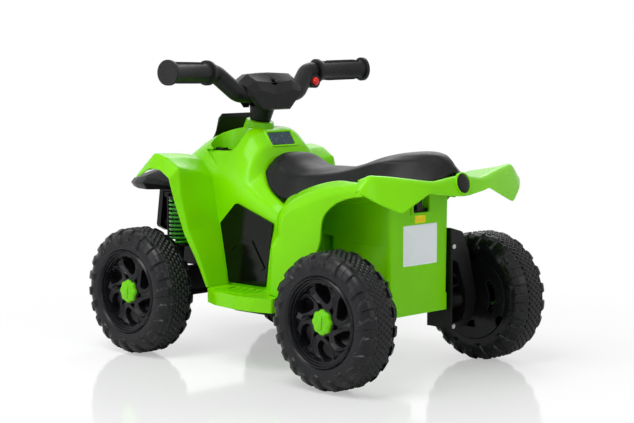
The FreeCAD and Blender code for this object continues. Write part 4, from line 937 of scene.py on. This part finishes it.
@dataclass
class RearShell(Assembly):
    """Rear fenders, the tail wing and what sits on the box's back."""

    wall: float = 3.0
    axle: Pair = REAR_AXLE
    inner: float = 63.4
    edge: float = 130.0
    badge: Point = (0.0, 300.9, 274.5)
    back: float = 223.9
    wing: tuple = (
        (0, (272, 270), (296, 284), (302, 258)),
        (48, (264, 270), (293, 278), (297, 262)),
        (63.4, (228, 269), (290, 279), (295, 265)),
        (119, (216, 278), (275, 287), (294, 241)),
        (150, (252, 284), (266, 291), (280, 256)),
        (168, (258, 267), (262, 273), (267, 268)),
    )

    def stations(self) -> list[tuple[float, list[Pair]]]:
        """Lines of the left fender round the axle.

        Returns:
            For each angle in degrees, its (x, radius) points.
        """
        a, b = self.inner, self.edge
        return [
            (5.5, [(a, 173), (a, 195), (90, 195), (118, 170), (b - 2, 160.5), (b, 155), (b, 130)]),
            (22, [(a, 180), (a, 202), (90, 203), (116, 181), (b - 2, 168), (b, 161), (b, 104)]),
            (28.5, [(a, 186), (a, 208), (88, 211), (114, 190), (b - 2, 176), (b, 168), (b, 104)]),
            (35, [(a, 192), (a, 214), (78, 227), (112, 193), (b - 2, 172), (b, 163), (b, 104)]),
            (41, [(a, 192), (a, 214), (78, 226), (108, 206), (b - 4, 188), (b, 178), (b, 104)]),
            (50, [(a, 180), (a, 202), (80, 208), (95, 207.5), (b - 6, 192), (b, 178), (b, 104)]),
            (57, [(a, 172), (a, 194), (84, 200), (101, 200), (b - 5, 187), (b, 172), (b, 110)]),
            (69, [(a, 158), (a, 180), (88, 187), (106, 191.5), (b - 4, 181), (b, 168), (b, 143)]),
            (76.5, [(a, 154), (a, 176), (88, 183), (108, 188), (b - 4, 178), (b, 168), (b, 153)]),
            (90, [(a, 154), (a, 176), (92, 180), (122, 183), (b - 1, 178), (b + 1, 172),
                  (b + 1, 163)]),
            (98, [(a, 154), (a, 176), (100, 180), (124, 186), (b, 180), (b + 3, 175),
                  (b + 3, 168)]),
        ]

    def build(self) -> None:
        """Makes the fenders and the wing."""
        for side in Side:
            s = side.value
            rows = [[fan(s * x, r, turn, self.axle, -1) for x, r in line]
                    for turn, line in self.stations()]
            grid = skin(rows, [0, 2, 3, 4, 3, 3, 0], [0, 0, 3, 3, 0, 0, 0, 0, 0, 0, 0], (5, 5))
            self.green(f"rear_fender_{side.name.lower()}", walled(grid, self.wall, -s),
                       ["rear_fender"] if s > 0 else [])
        rows = [[(-x, y, z) for y, z in line] for x, *line in self.wing[:0:-1]]
        rows += [[(x, y, z) for y, z in line] for x, *line in self.wing]
        along = [0, 5, 6, 4, 5, 0, 5, 4, 6, 5, 0]
        grid = skin(rows, [0, 4, 0], along, (6, 6))
        self.green("tail_wing", walled(grid, self.wall, -1))
        self.plates()

    def plates(self) -> None:
        """Blank round badge in its ring, the frame of the latch and two blank plates on the box."""
        f = self.maker.finishes
        out = (0, 0.97, 0.22)
        ring = [(15.6, -2.0), (15.6, 1.2), (14.9, 2.0), (14.1, 2.0), (13.6, 1.4), (13.2, -1.5)]
        self.green("badge_ring", turned(self.badge, out, ring))
        disc = [(13.4, -1.6), (13.4, 0.9), (12.6, 1.5), (9.0, 1.9), (4.0, 2.1), (0.4, 2.15)]
        self.maker.piece("badge_disc", "frame", turned(self.badge, out, disc), f.gloss_black,
                         "gloss_black", ["badge"])
        facing = ((0, 0, -1), (0, 1, 0))
        frame = [(21.6, 17.4, 0.2), (21.4, 17.2, 1.6), (20.8, 16.6, 2.2), (17.8, 13.8, 2.2),
                 (17.0, 13.0, 1.4), (16.8, 12.8, -0.8)]
        points, faces = framed((-2.5, self.back, 242.5), *facing, frame, 3.0)
        self.green("latch_frame", (points, faces[:-2]))
        for name, (x, z), half, tall, finish in (
                ("small_plate", (-1.0, 220.2), 11.4, 5.6, f.yellow),
                ("large_plate", (-1.6, 184.0), 36.0, 28.4, f.blank)):
            rings = [(half, tall, -0.3), (half, tall, 0.35), (half - 0.5, tall - 0.5, 0.6),
                     (half - 1.6, tall - 1.6, 0.6), (half - 1.9, tall - 1.9, 0.45),
                     (0.5, 0.5, 0.45)]
            plate = framed((x, self.back, z), *facing, rings, 1.6)
            self.maker.piece(name, "frame", plate, finish, "body_green")


@dataclass
class Saddle(Assembly):
    """Seat with its front horn, hollow and rear hump."""

    wall: float = 3.0
    stations: tuple = (
        (-33, 27, 295, 300.5, 44, 282),
        (-26, 40, 294, 303, 58, 273),
        (-8, 49, 289, 302, 68, 256),
        (12, 51, 279, 292, 73, 246),
        (32, 53, 273.5, 286.5, 74, 240),
        (60, 54, 275, 286, 74, 247.5),
        (110, 55, 281, 288, 70, 262.5),
        (150, 60, 289, 297, 69, 268),
        (185, 63, 298, 308, 70, 271.5),
        (210, 60, 303, 313, 68, 273),
        (232, 46, 304, 315, 64, 274.5),
        (250, 33, 304, 314.5, 56, 275.5),
        (264, 22, 302, 312, 46, 276.5),
        (276, 14, 297, 305, 36, 278),
        (285, 8, 290, 296, 24, 281),
    )

    def build(self) -> None:
        """Makes the saddle."""
        rows = []
        for y, side, shoulder, top, low_half, low in self.stations:
            half = [(0, top), (side * 0.55, top - 0.22 * (top - shoulder)),
                    (side * 0.93, shoulder + 1.2), (side + 1.2, shoulder - 1.6),
                    (low_half, low + 2), (low_half - 1.5, low)]
            rows.append([(x, y, z) for x, z in mirrored_line(half)])
        along = [0, 5] + [0] * (len(rows) - 2)
        grid = skin(rows, [0, 2, 3, 4, 0, 0, 0, 4, 3, 2, 0], along, (5, 6))
        points, faces = walled(grid, self.wall, -1)
        count, cols = len(points), grid.shape[1]
        points = np.concatenate([points, [grid[0].mean(axis=0)], [grid[-1].mean(axis=0)]])
        end = (grid.shape[0] - 1) * cols
        faces += [(count, j, j + 1) for j in range(cols - 1)]
        faces += [(count + 1, end + j + 1, end + j) for j in range(cols - 1)]
        self.maker.piece("saddle", "seat", (points, faces), self.maker.finishes.seat, "seat_black",
                         ["seat"])


@dataclass
class Wheel(Assembly):
    """Blow-moulded wheel: a dense skin whose lugs, knurls and rings rise from the profile."""

    radius: float = 95.0
    width: float = 65.3
    inner_face: float = 129.0
    lugs: int = 22
    per_lug: int = 24
    lug_height: float = 3.1
    lug_from: float = 64.0
    lug_reach: float = 27.5
    knurl_height: float = 1.9
    knurl_from: float = 19.0
    knurl_pitch: float = 5.54
    spokes: int = 6
    twist: float = 9.0
    around: int = 336

    def profile(self) -> np.ndarray:
        """Plain section of the tyre.

        Returns:
            Points (x, r) from the outer rim over the tread to the inner rim, x measured from the
            inner face.
        """
        w = self.width
        table = [(w - 4.0, 62.4), (w - 2.8, 64), (w - 2.4, 70), (w - 2.6, 76), (w - 5.4, 83.5),
                 (w - 10, 88.6), (w - 15.4, 91.2), (w - 16.6, 93.4), (w - 18, 91.4), (w - 22, 92.0),
                 (w - 27, 92.4), (w / 2, 92.5), (27, 92.4), (22, 92.0), (18, 91.4), (16.6, 92.2),
                 (10, 88.6), (4, 82), (1.6, 74), (2.0, 62.5)]
        rounding = [0, 1, 0, 0, 0, 0, 0.5, 0.4, 0.5] + [0] * 11
        return flow_line(np.array([(x, q, 0.0) for x, q in table]), rounding, 8)[:, :2]

    def relief(self, x: np.ndarray, r: np.ndarray, turn: np.ndarray) -> np.ndarray:
        """Height of the pattern on the tyre.

        Args:
            x: place across the wheel from its inner face.
            r: radius of the plain profile.
            turn: angle in lug pitches.
        Returns:
            Height in millimetres.
        """
        def step(v: np.ndarray, a: float, b: float) -> np.ndarray:
            """Smooth rise from 0 at a to 1 at b."""
            u = np.clip((v - a) / (b - a), 0, 1)
            return u * u * (3 - 2 * u)

        def lug_row(reach: np.ndarray, phase: float, sense: int) -> np.ndarray:
            """Hooked lugs, long and short in turn.

            Args:
                reach: 0 at the rim to 1 at the tread.
                phase: shift in lug pitches.
                sense: way in which the lugs lean.
            Returns:
                Height from 0 to 1.
            """
            lean = sense * (0.30 * (1 - reach) ** 2 - 0.05)
            cell = (turn + phase + lean) % 1.0
            wide = 0.34 + 0.18 * step(reach, 0.35, 0.9)
            block = step(cell, 0.0, 0.05) * (1 - step(cell, wide, wide + 0.06))
            long_lug = (np.floor(turn + phase + lean) % 2) == 0
            start = np.where(long_lug, 0.22, 0.46)
            rise = step(reach - start, 0.0, 0.07)
            body = block * rise * (1 - 0.35 * step(reach, 0.85, 1.0))
            hook = (cell - 0.42) ** 2 / 0.030 + (reach - start - 0.16) ** 2 / 0.016
            return np.maximum(body, 0.75 * (1 - step(hook, 0.35, 1.0)))

        w = self.width
        reach = (r - self.lug_from) / self.lug_reach
        outer = np.clip(np.where(x > w / 2, reach, 0), 0, 1)
        inner = np.clip(np.where(x < w / 2, reach, 0), 0, 1)
        height = np.where(x > w - 16.4, self.lug_height * lug_row(outer, 0.0, 1), 0.0)
        height = np.where(x < 17.5, self.lug_height * lug_row(inner, 0.5, -1), height)
        band = (x > self.knurl_from) & (x < w - 18.6)
        row = (x - self.knurl_from) / self.knurl_pitch
        knurl = np.clip(np.sin(math.pi * (row % 1.0)) * 2.6 - 0.9, 0, 1)
        dots = np.sin(2 * math.pi * (turn * 3 + 0.5 * np.floor(row)))
        return np.where(band, self.knurl_height * knurl * np.clip(dots * 2.0 + 0.9, 0, 1), height)

    def tyre(self) -> Shape:
        """Skin of the tyre.

        Returns:
            Vertices and faces.
        """
        line = self.profile()
        tangent = np.gradient(line, axis=0)
        normal = np.stack([-tangent[:, 1], tangent[:, 0]], axis=1)
        normal /= np.linalg.norm(normal, axis=1, keepdims=True)
        outside = normal[:, 1] * 0.2 + normal[:, 0] * np.sign(line[:, 0] - self.width / 2)
        normal *= np.where(outside < 0, -1, 1)[:, None]
        count = self.lugs * self.per_lug
        turn = np.arange(count) / self.per_lug
        x = np.repeat(line[:, 0][:, None], count, axis=1)
        r = np.repeat(line[:, 1][:, None], count, axis=1)
        h = self.relief(x, r, np.repeat(turn[None, :], len(line), axis=0))
        xx = x + h * normal[:, 0][:, None]
        rr = np.minimum(r + h * normal[:, 1][:, None], self.radius - 0.02)
        points = about_x(xx, rr, 2 * math.pi * turn / self.lugs)
        faces = [(i * count + j, (i + 1) * count + j, (i + 1) * count + (j + 1) % count,
                  i * count + (j + 1) % count) for i in range(len(line) - 1) for j in range(count)]
        return points.reshape(-1, 3), faces

    def ring(self, profile: Sequence[Pair], count: int = 96) -> Shape:
        """Turned ring about the axle.

        Args:
            profile: (x, r) points.
            count: points round it.
        Returns:
            Vertices and faces.
        """
        points, faces = loft([about_x(np.full(count, x), r, circle(count)) for x, r in profile],
                             False)
        return points, [f[::-1] for f in faces]

    def dish(self) -> Shape:
        """Disc inside the rim: stepped rings, and twisted windows between spokes that fork.

        Returns:
            Vertices and faces.
        """
        w = self.width
        steps = [50.4, 50.8, 52.4, 52.8, 53.2, 53.6, 55.2, 55.6, 56.0, 56.4, 57.8, 58.4, 59.0, 59.6,
                 60.2, 60.8, 61.4, 62.4]
        radii = np.unique(np.concatenate([np.linspace(14, 50, 37), np.array(steps)]))
        r, a = np.meshgrid(radii, np.degrees(circle(self.around)), indexing="ij")
        places = [14, 22, 30, 50.4, 50.8, 52.8, 53.2, 55.6, 56.0, 57.8, 59.0, 60.2, 61.0, 62.4]
        depths = [11.6, 12.4, 13.6, 13.6, 10.6, 10.6, 7.8, 7.8, 5.0, 5.0, 2.0, 0.9, 1.8, 4.0]
        base = np.interp(r, places, [w - depth for depth in depths])
        pitch = 360.0 / self.spokes
        swirl = self.twist * (r - 38) / 12
        lean = (a % pitch) - pitch / 2 - swirl
        half = 18.5 * np.sqrt(np.clip(1 - ((r - 39) / 13.2) ** 2, 0, 1)) ** 1.1
        inside = np.clip((half - np.abs(lean)) / 3.2, 0, 1)
        floor = 13.0 + 5.0 * np.clip(lean / 16, -1, 1)
        spoke = (a + pitch / 2) % pitch - pitch / 2 - swirl
        fork = np.abs(np.abs(spoke) - np.clip(r - 40, 0, None) * 1.05)
        ends = np.clip((r - 20) / 6, 0, 1), np.clip((52 - r) / 3, 0, 1)
        ridge = 3.4 * np.clip(1 - fork / 8.0, 0, 1) * ends[0] * ends[1]
        heel = np.clip((12.5 * (28.5 - r) / 9 - np.abs(spoke)) / 3.0, 0, 1) * (r > 19)
        x = base + ridge * (1 - inside) - floor * inside - 6.5 * heel
        return loft(list(about_x(x, r, np.radians(a))), False)

    def build(self) -> None:
        """Makes the four wheels on shared meshes."""
        w = self.width
        hub = self.ring([(w - 17, 19.0), (w - 12.0, 18.6), (w - 11.4, 17.8), (w - 11.2, 15.4),
                         (w - 10.3, 14.6), (w - 10.3, 5.1), (w - 30, 5.1), (w - 30, 13),
                         (w - 17, 13.4)], 48)
        inner = self.ring([(2.0, 62.3), (4.0, 62.0), (5.0, 64.5), (4.6, 70)])
        shapes = (("tyre", self.tyre(), 60), ("rim", joined([self.dish(), hub, inner]), 32))
        for corner, (s, axle) in CORNERS.items():
            place = outward(s, (s * self.inner_face, *axle))
            for name, shape, sharp in shapes:
                self.maker.piece(f"{name}_{corner}", f"wheel_{corner}", shape,
                                 self.maker.finishes.tyre, "tyre_black",
                                 [f"wheel_{corner}"] if name == "tyre" else [], sharp, name, place)


@dataclass
class HubCap(Assembly):
    """Domed cap with lobes and a raised grip bar."""

    lobes: int = 8
    depth: float = 13.0
    inset: float = 4.0

    def surface(self, radius: float) -> Shape:
        """Cap about the X axis with its crown at x = 0.

        Args:
            radius: radius over the lobes.
        Returns:
            Vertices and faces.
        """
        a = circle(self.lobes * 12)
        lobe = 1 - 0.085 * (0.5 - 0.5 * np.cos(self.lobes * a)) ** 1.5
        rings = []
        for share, drop, wave in ((0.98, self.depth, 1.0), (1.0, 5.2, 1.0), (0.97, 3.7, 1.0),
                                  (0.9, 2.6, 0.9), (0.78, 2.0, 0.6), (0.62, 1.5, 0.35),
                                  (0.45, 1.25, 0.1), (0.25, 1.1, 0.0), (0.02, 1.05, 0.0)):
            x = np.full(len(a), -drop) + 0.5 * wave * (lobe - 1) * 8 * (share < 0.95)
            rings.append(about_x(x, radius * share * (1 - wave * (1 - lobe)), a))
        return loft(rings)

    def bar(self, radius: float) -> Shape:
        """Raised bar across the cap, tapered to its ends.

        Args:
            radius: radius of the cap.
        Returns:
            Vertices and faces.
        """
        rings = []
        for z, half, rise in ((-0.62, 0.10, -1.6), (-0.5, 0.17, 0.1), (0.0, 0.22, 0.9),
                              (0.5, 0.17, 0.1), (0.62, 0.10, -1.6)):
            w = half * radius
            outline = [(-3.0, -w), (rise - 0.6, -w), (rise, -0.6 * w), (rise, 0.6 * w),
                       (rise - 0.6, w), (-3.0, w)]
            rings.append(np.array([(x, y, z * radius) for x, y in outline]))
        return loft(rings)

    def build(self) -> None:
        """Makes the four caps where the CAD caps are."""
        for corner, (s, _) in CORNERS.items():
            low, high = (np.array(v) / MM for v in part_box(f"hub_cap_{corner}"))
            radius = (high[1] - low[1]) / 2
            middle = (low + high) / 2
            crown = (high[0] if s > 0 else low[0]) - s * self.inset
            place = outward(s, (crown, middle[1], middle[2]))
            for name, shape, node in (("cap", self.surface(radius), [f"hub_cap_{corner}"]),
                                      ("cap_bar", self.bar(radius), [])):
                self.maker.piece(f"{name}_{corner}", f"wheel_{corner}", shape,
                                 self.maker.finishes.cap_green, "cap_green", node, 35, name, place)


@dataclass
class ShockBoot(Assembly):
    """Ribbed rubber boot round the strut inside each front spring, and a black plate behind both, a
    sheet of painted shade seen between the coils.
    """

    foot: Point = (88.0, -178.0, 167.0)
    top: float = 223.0
    radius: float = 12.2
    ribs: int = 9
    groove: float = 1.2
    # centre of the black plate of painted shade behind the spring
    plate: Point = (71.0, -201.5, 200.0)

    def build(self) -> None:
        """Makes both boots and both plates of painted shade."""
        a = circle(36)
        steps = self.ribs * 4
        # rings of the black plate that paints the shade behind the spring's coils
        plate = [(24.0, 35.0, -1.5), (24.0, 35.0, 0.9), (23.4, 34.4, 1.5), (19.0, 30.0, 1.5),
                 (18.0, 29.0, 0.8)]
        for side in Side:
            x, y, low = self.foot
            rings = []
            for k in range(steps + 1):
                r = self.radius - self.groove * abs(math.cos(math.pi * k * self.ribs / steps))
                z = low + (self.top - low) * k / steps
                rings.append(np.stack([side.value * x + r * np.cos(a), y + r * np.sin(a),
                                       np.full(len(a), z)], axis=1))
            middle = (side.value * self.plate[0], *self.plate[1:])
            # black sheet behind the spring: painted shade between the coils, not a part of the bike
            shade_sheet = framed(middle, (0, 0, -1), (0, 1, 0), plate, 4.0)
            for name, shape, sharp in (("boot", loft(rings), 60), ("shade_sheet", shade_sheet, 38)):
                self.maker.piece(f"shock_{name}_{side.name.lower()}", "frame", shape,
                                 self.maker.finishes.black, "black_plastic", [], sharp)


@dataclass
class CadParts(Assembly):
    """The CAD nodes that stay: each gets its finish and softened edges."""

    def build(self, nodes: dict[str, Thing]) -> None:
        """Dresses every node that is still shown.

        Args:
            nodes: the CAD nodes by name.
        """
        f = self.maker.finishes
        table: dict[str, tuple[Material, float]] = {
            "battery_box": (f.green, 2.0), "footboard": (f.green, 1.2), "handlebar": (f.black, 0.8),
            "grip": (f.rubber, 1.0), "handlebar_cover": (f.black, 1.2),
            "column_sleeve": (f.black, 0.8), "steering_column": (f.steel, 0.3),
            "red_button": (f.red, 0.4), "switch_frame": (f.black, 0.3), "rocker": (f.black, 0.4),
            "dash_screen": (f.screen, 0.3), "front_cowl": (f.black, 0.8),
            "headlight_housing": (f.black, 1.5), "lamp_lenses": (f.lens, 0.3),
            "front_guard": (f.black, 1.2), "side_panel": (f.gloss_black, 0.8),
            "chassis_base": (f.black, 1.0), "front_axle_beam": (f.black, 0.8),
            "kingpins": (f.steel, 0.4), "knuckle": (f.steel, 0.4), "tie_rod": (f.black, 0.5),
            "shock_strut": (f.black, 0.5), "shock_spring": (f.spring_green, 0.0),
            "rear_axle": (f.steel, 0.3), "rear_arm": (f.black, 1.2), "gearbox": (f.black, 0.6),
            "motor": (f.can, 0.3), "motor_pinion": (f.nylon, 0.1),
            "reduction_gear": (f.nylon, 0.1), "output_gear": (f.nylon, 0.1),
            "battery": (f.case, 0.8), "arm_screws": (f.steel, 0.2), "seat_latch": (f.black, 0.3),
            "front_nut": (f.steel, 0.3), "rear_axle_nuts": (f.steel, 0.3),
            "hub_plate": (f.tyre, 0.6),
        }
        for name, node in nodes.items():
            if node.hide_render:
                continue
            material, width = table[max((k for k in table if name.startswith(k)), key=len)]
            node.data.materials.clear()
            node.data.materials.append(material)
            if width:
                self.maker.soften(node, width, True)
            LOG.info("node %s: %s", name, material.name)


@dataclass
class Studio:
    """Pale floor, soft lights and the camera."""

    camera_at: Point = (1780.3, 1748.7, 471.2)
    azimuth: float = 134.08
    elevation: float = 5.87
    lens: float = 95.7
    lamps: tuple = (
        ("key", (1000, 200, 1900), 1100, 26),
        ("fill", (1700, -500, 900), 1100, 7),
        ("back", (-1300, -900, 1500), 1200, 10),
        ("tail", (300, 1900, 900), 1000, 5),
    )
    aim: Point = (0, 0, 0.2)
    sky_light: float = 0.42
    white_near: float = 0.42
    fade: Pair = (0.34, 0.9)
    floor_radius: float = 12.0
    floor_height: float = -0.0004

    def build(self) -> None:
        """Makes the stage."""
        self.floor()
        self.world()
        for lamp in self.lamps:
            self.area(*lamp)
        self.camera()

    def floor(self) -> None:
        """Pale floor with a soft reflection, which turns to plain white away from the bike."""
        t = Tree("studio_floor")
        shader = t.node("ShaderNodeBsdfPrincipled", {}, {
            "Base Color": (0.93, 0.935, 0.94, 1.0), "Roughness": 0.07 + 0.03 * t.noise(3.0, 2.0),
            "Specular IOR Level": 0.9})
        white = t.node("ShaderNodeEmission", {}, {"Color": (1.0, 1.0, 1.0, 1.0), "Strength": 1.0})
        reach = t.node("ShaderNodeVectorMath", {"operation": "LENGTH"}, {0: t.place()}, "Value")
        far = t.node("ShaderNodeMapRange", {"interpolation_type": "SMOOTHSTEP"},
                     {"Value": reach, "From Min": self.fade[0], "From Max": self.fade[1],
                      "To Min": self.white_near, "To Max": 1.0})
        seen = t.node("ShaderNodeLightPath", out="Is Camera Ray")
        t.close(t.node("ShaderNodeMixShader", {}, {0: far * seen, 1: shader, 2: white}))
        mesh = bpy.data.meshes.new("floor")
        edge = [2 * math.pi * k / 64 for k in range(64)]
        mesh.from_pydata([(self.floor_radius * math.cos(a), self.floor_radius * math.sin(a),
                           self.floor_height) for a in edge], [], [tuple(range(len(edge)))])
        mesh.materials.append(t.owner)
        put("floor", mesh)

    def world(self) -> None:
        """White to the camera, reflections and clear plastic; soft grey for light."""
        t = Tree("studio", True)
        camera, clear, glossy = (t.node("ShaderNodeLightPath", out=f"Is {kind} Ray")
                                 for kind in ("Camera", "Transmission", "Glossy"))
        strength = t.node("ShaderNodeMapRange", {}, {"Value": camera.larger(clear.larger(glossy)),
                                                     "To Min": self.sky_light, "To Max": 1.0})
        light = t.node("ShaderNodeBackground", {}, {"Color": (1.0, 1.0, 1.0, 1.0),
                                                    "Strength": strength})
        t.close(light, "ShaderNodeOutputWorld")
        bpy.context.scene.world = t.owner

    def area(self, name: str, at: Point, size: float, power: float) -> None:
        """Soft square lamp aimed at the bike.

        Args:
            name: the lamp's name.
            at: its place.
            size: its side.
            power: in watts.
        """
        lamp = bpy.data.lights.new(name, "AREA")
        lamp.size = size * MM
        lamp.energy = power
        made = put(name, lamp)
        made.location = Vector(at) * MM
        aim = Vector(self.aim) - made.location
        made.rotation_euler = aim.to_track_quat("-Z", "Y").to_euler()

    def camera(self) -> None:
        """Camera at the photograph's angle."""
        a, e = math.radians(self.azimuth), math.radians(self.elevation)
        back = Vector((math.sin(a) * math.cos(e), -math.cos(a) * math.cos(e), math.sin(e)))
        data = bpy.data.cameras.new("camera")
        data.lens = self.lens
        data.sensor_width = 36.0
        data.clip_end = 50.0
        made = put("camera", data)
        made.location = Vector(self.camera_at) * MM
        made.rotation_mode = "QUATERNION"
        made.rotation_quaternion = (-back).to_track_quat("-Z", "Y")
        bpy.context.scene.camera = made


def main() -> None:
    """Builds the bike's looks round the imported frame."""
    logging.basicConfig(level=logging.INFO, format="%(message)s")
    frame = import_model()
    bpy.context.scene.view_settings.view_transform = "Standard"
    Studio().build()
    maker = Maker(Finishes())
    for assembly in (FrontShell, RearShell, Saddle, Wheel, HubCap, ShockBoot):
        assembly(maker).build()
    CadParts(maker).build(frame["nodes"])
    LOG.info("%d pieces made", maker.made)


if __name__ == "__main__":
    main()
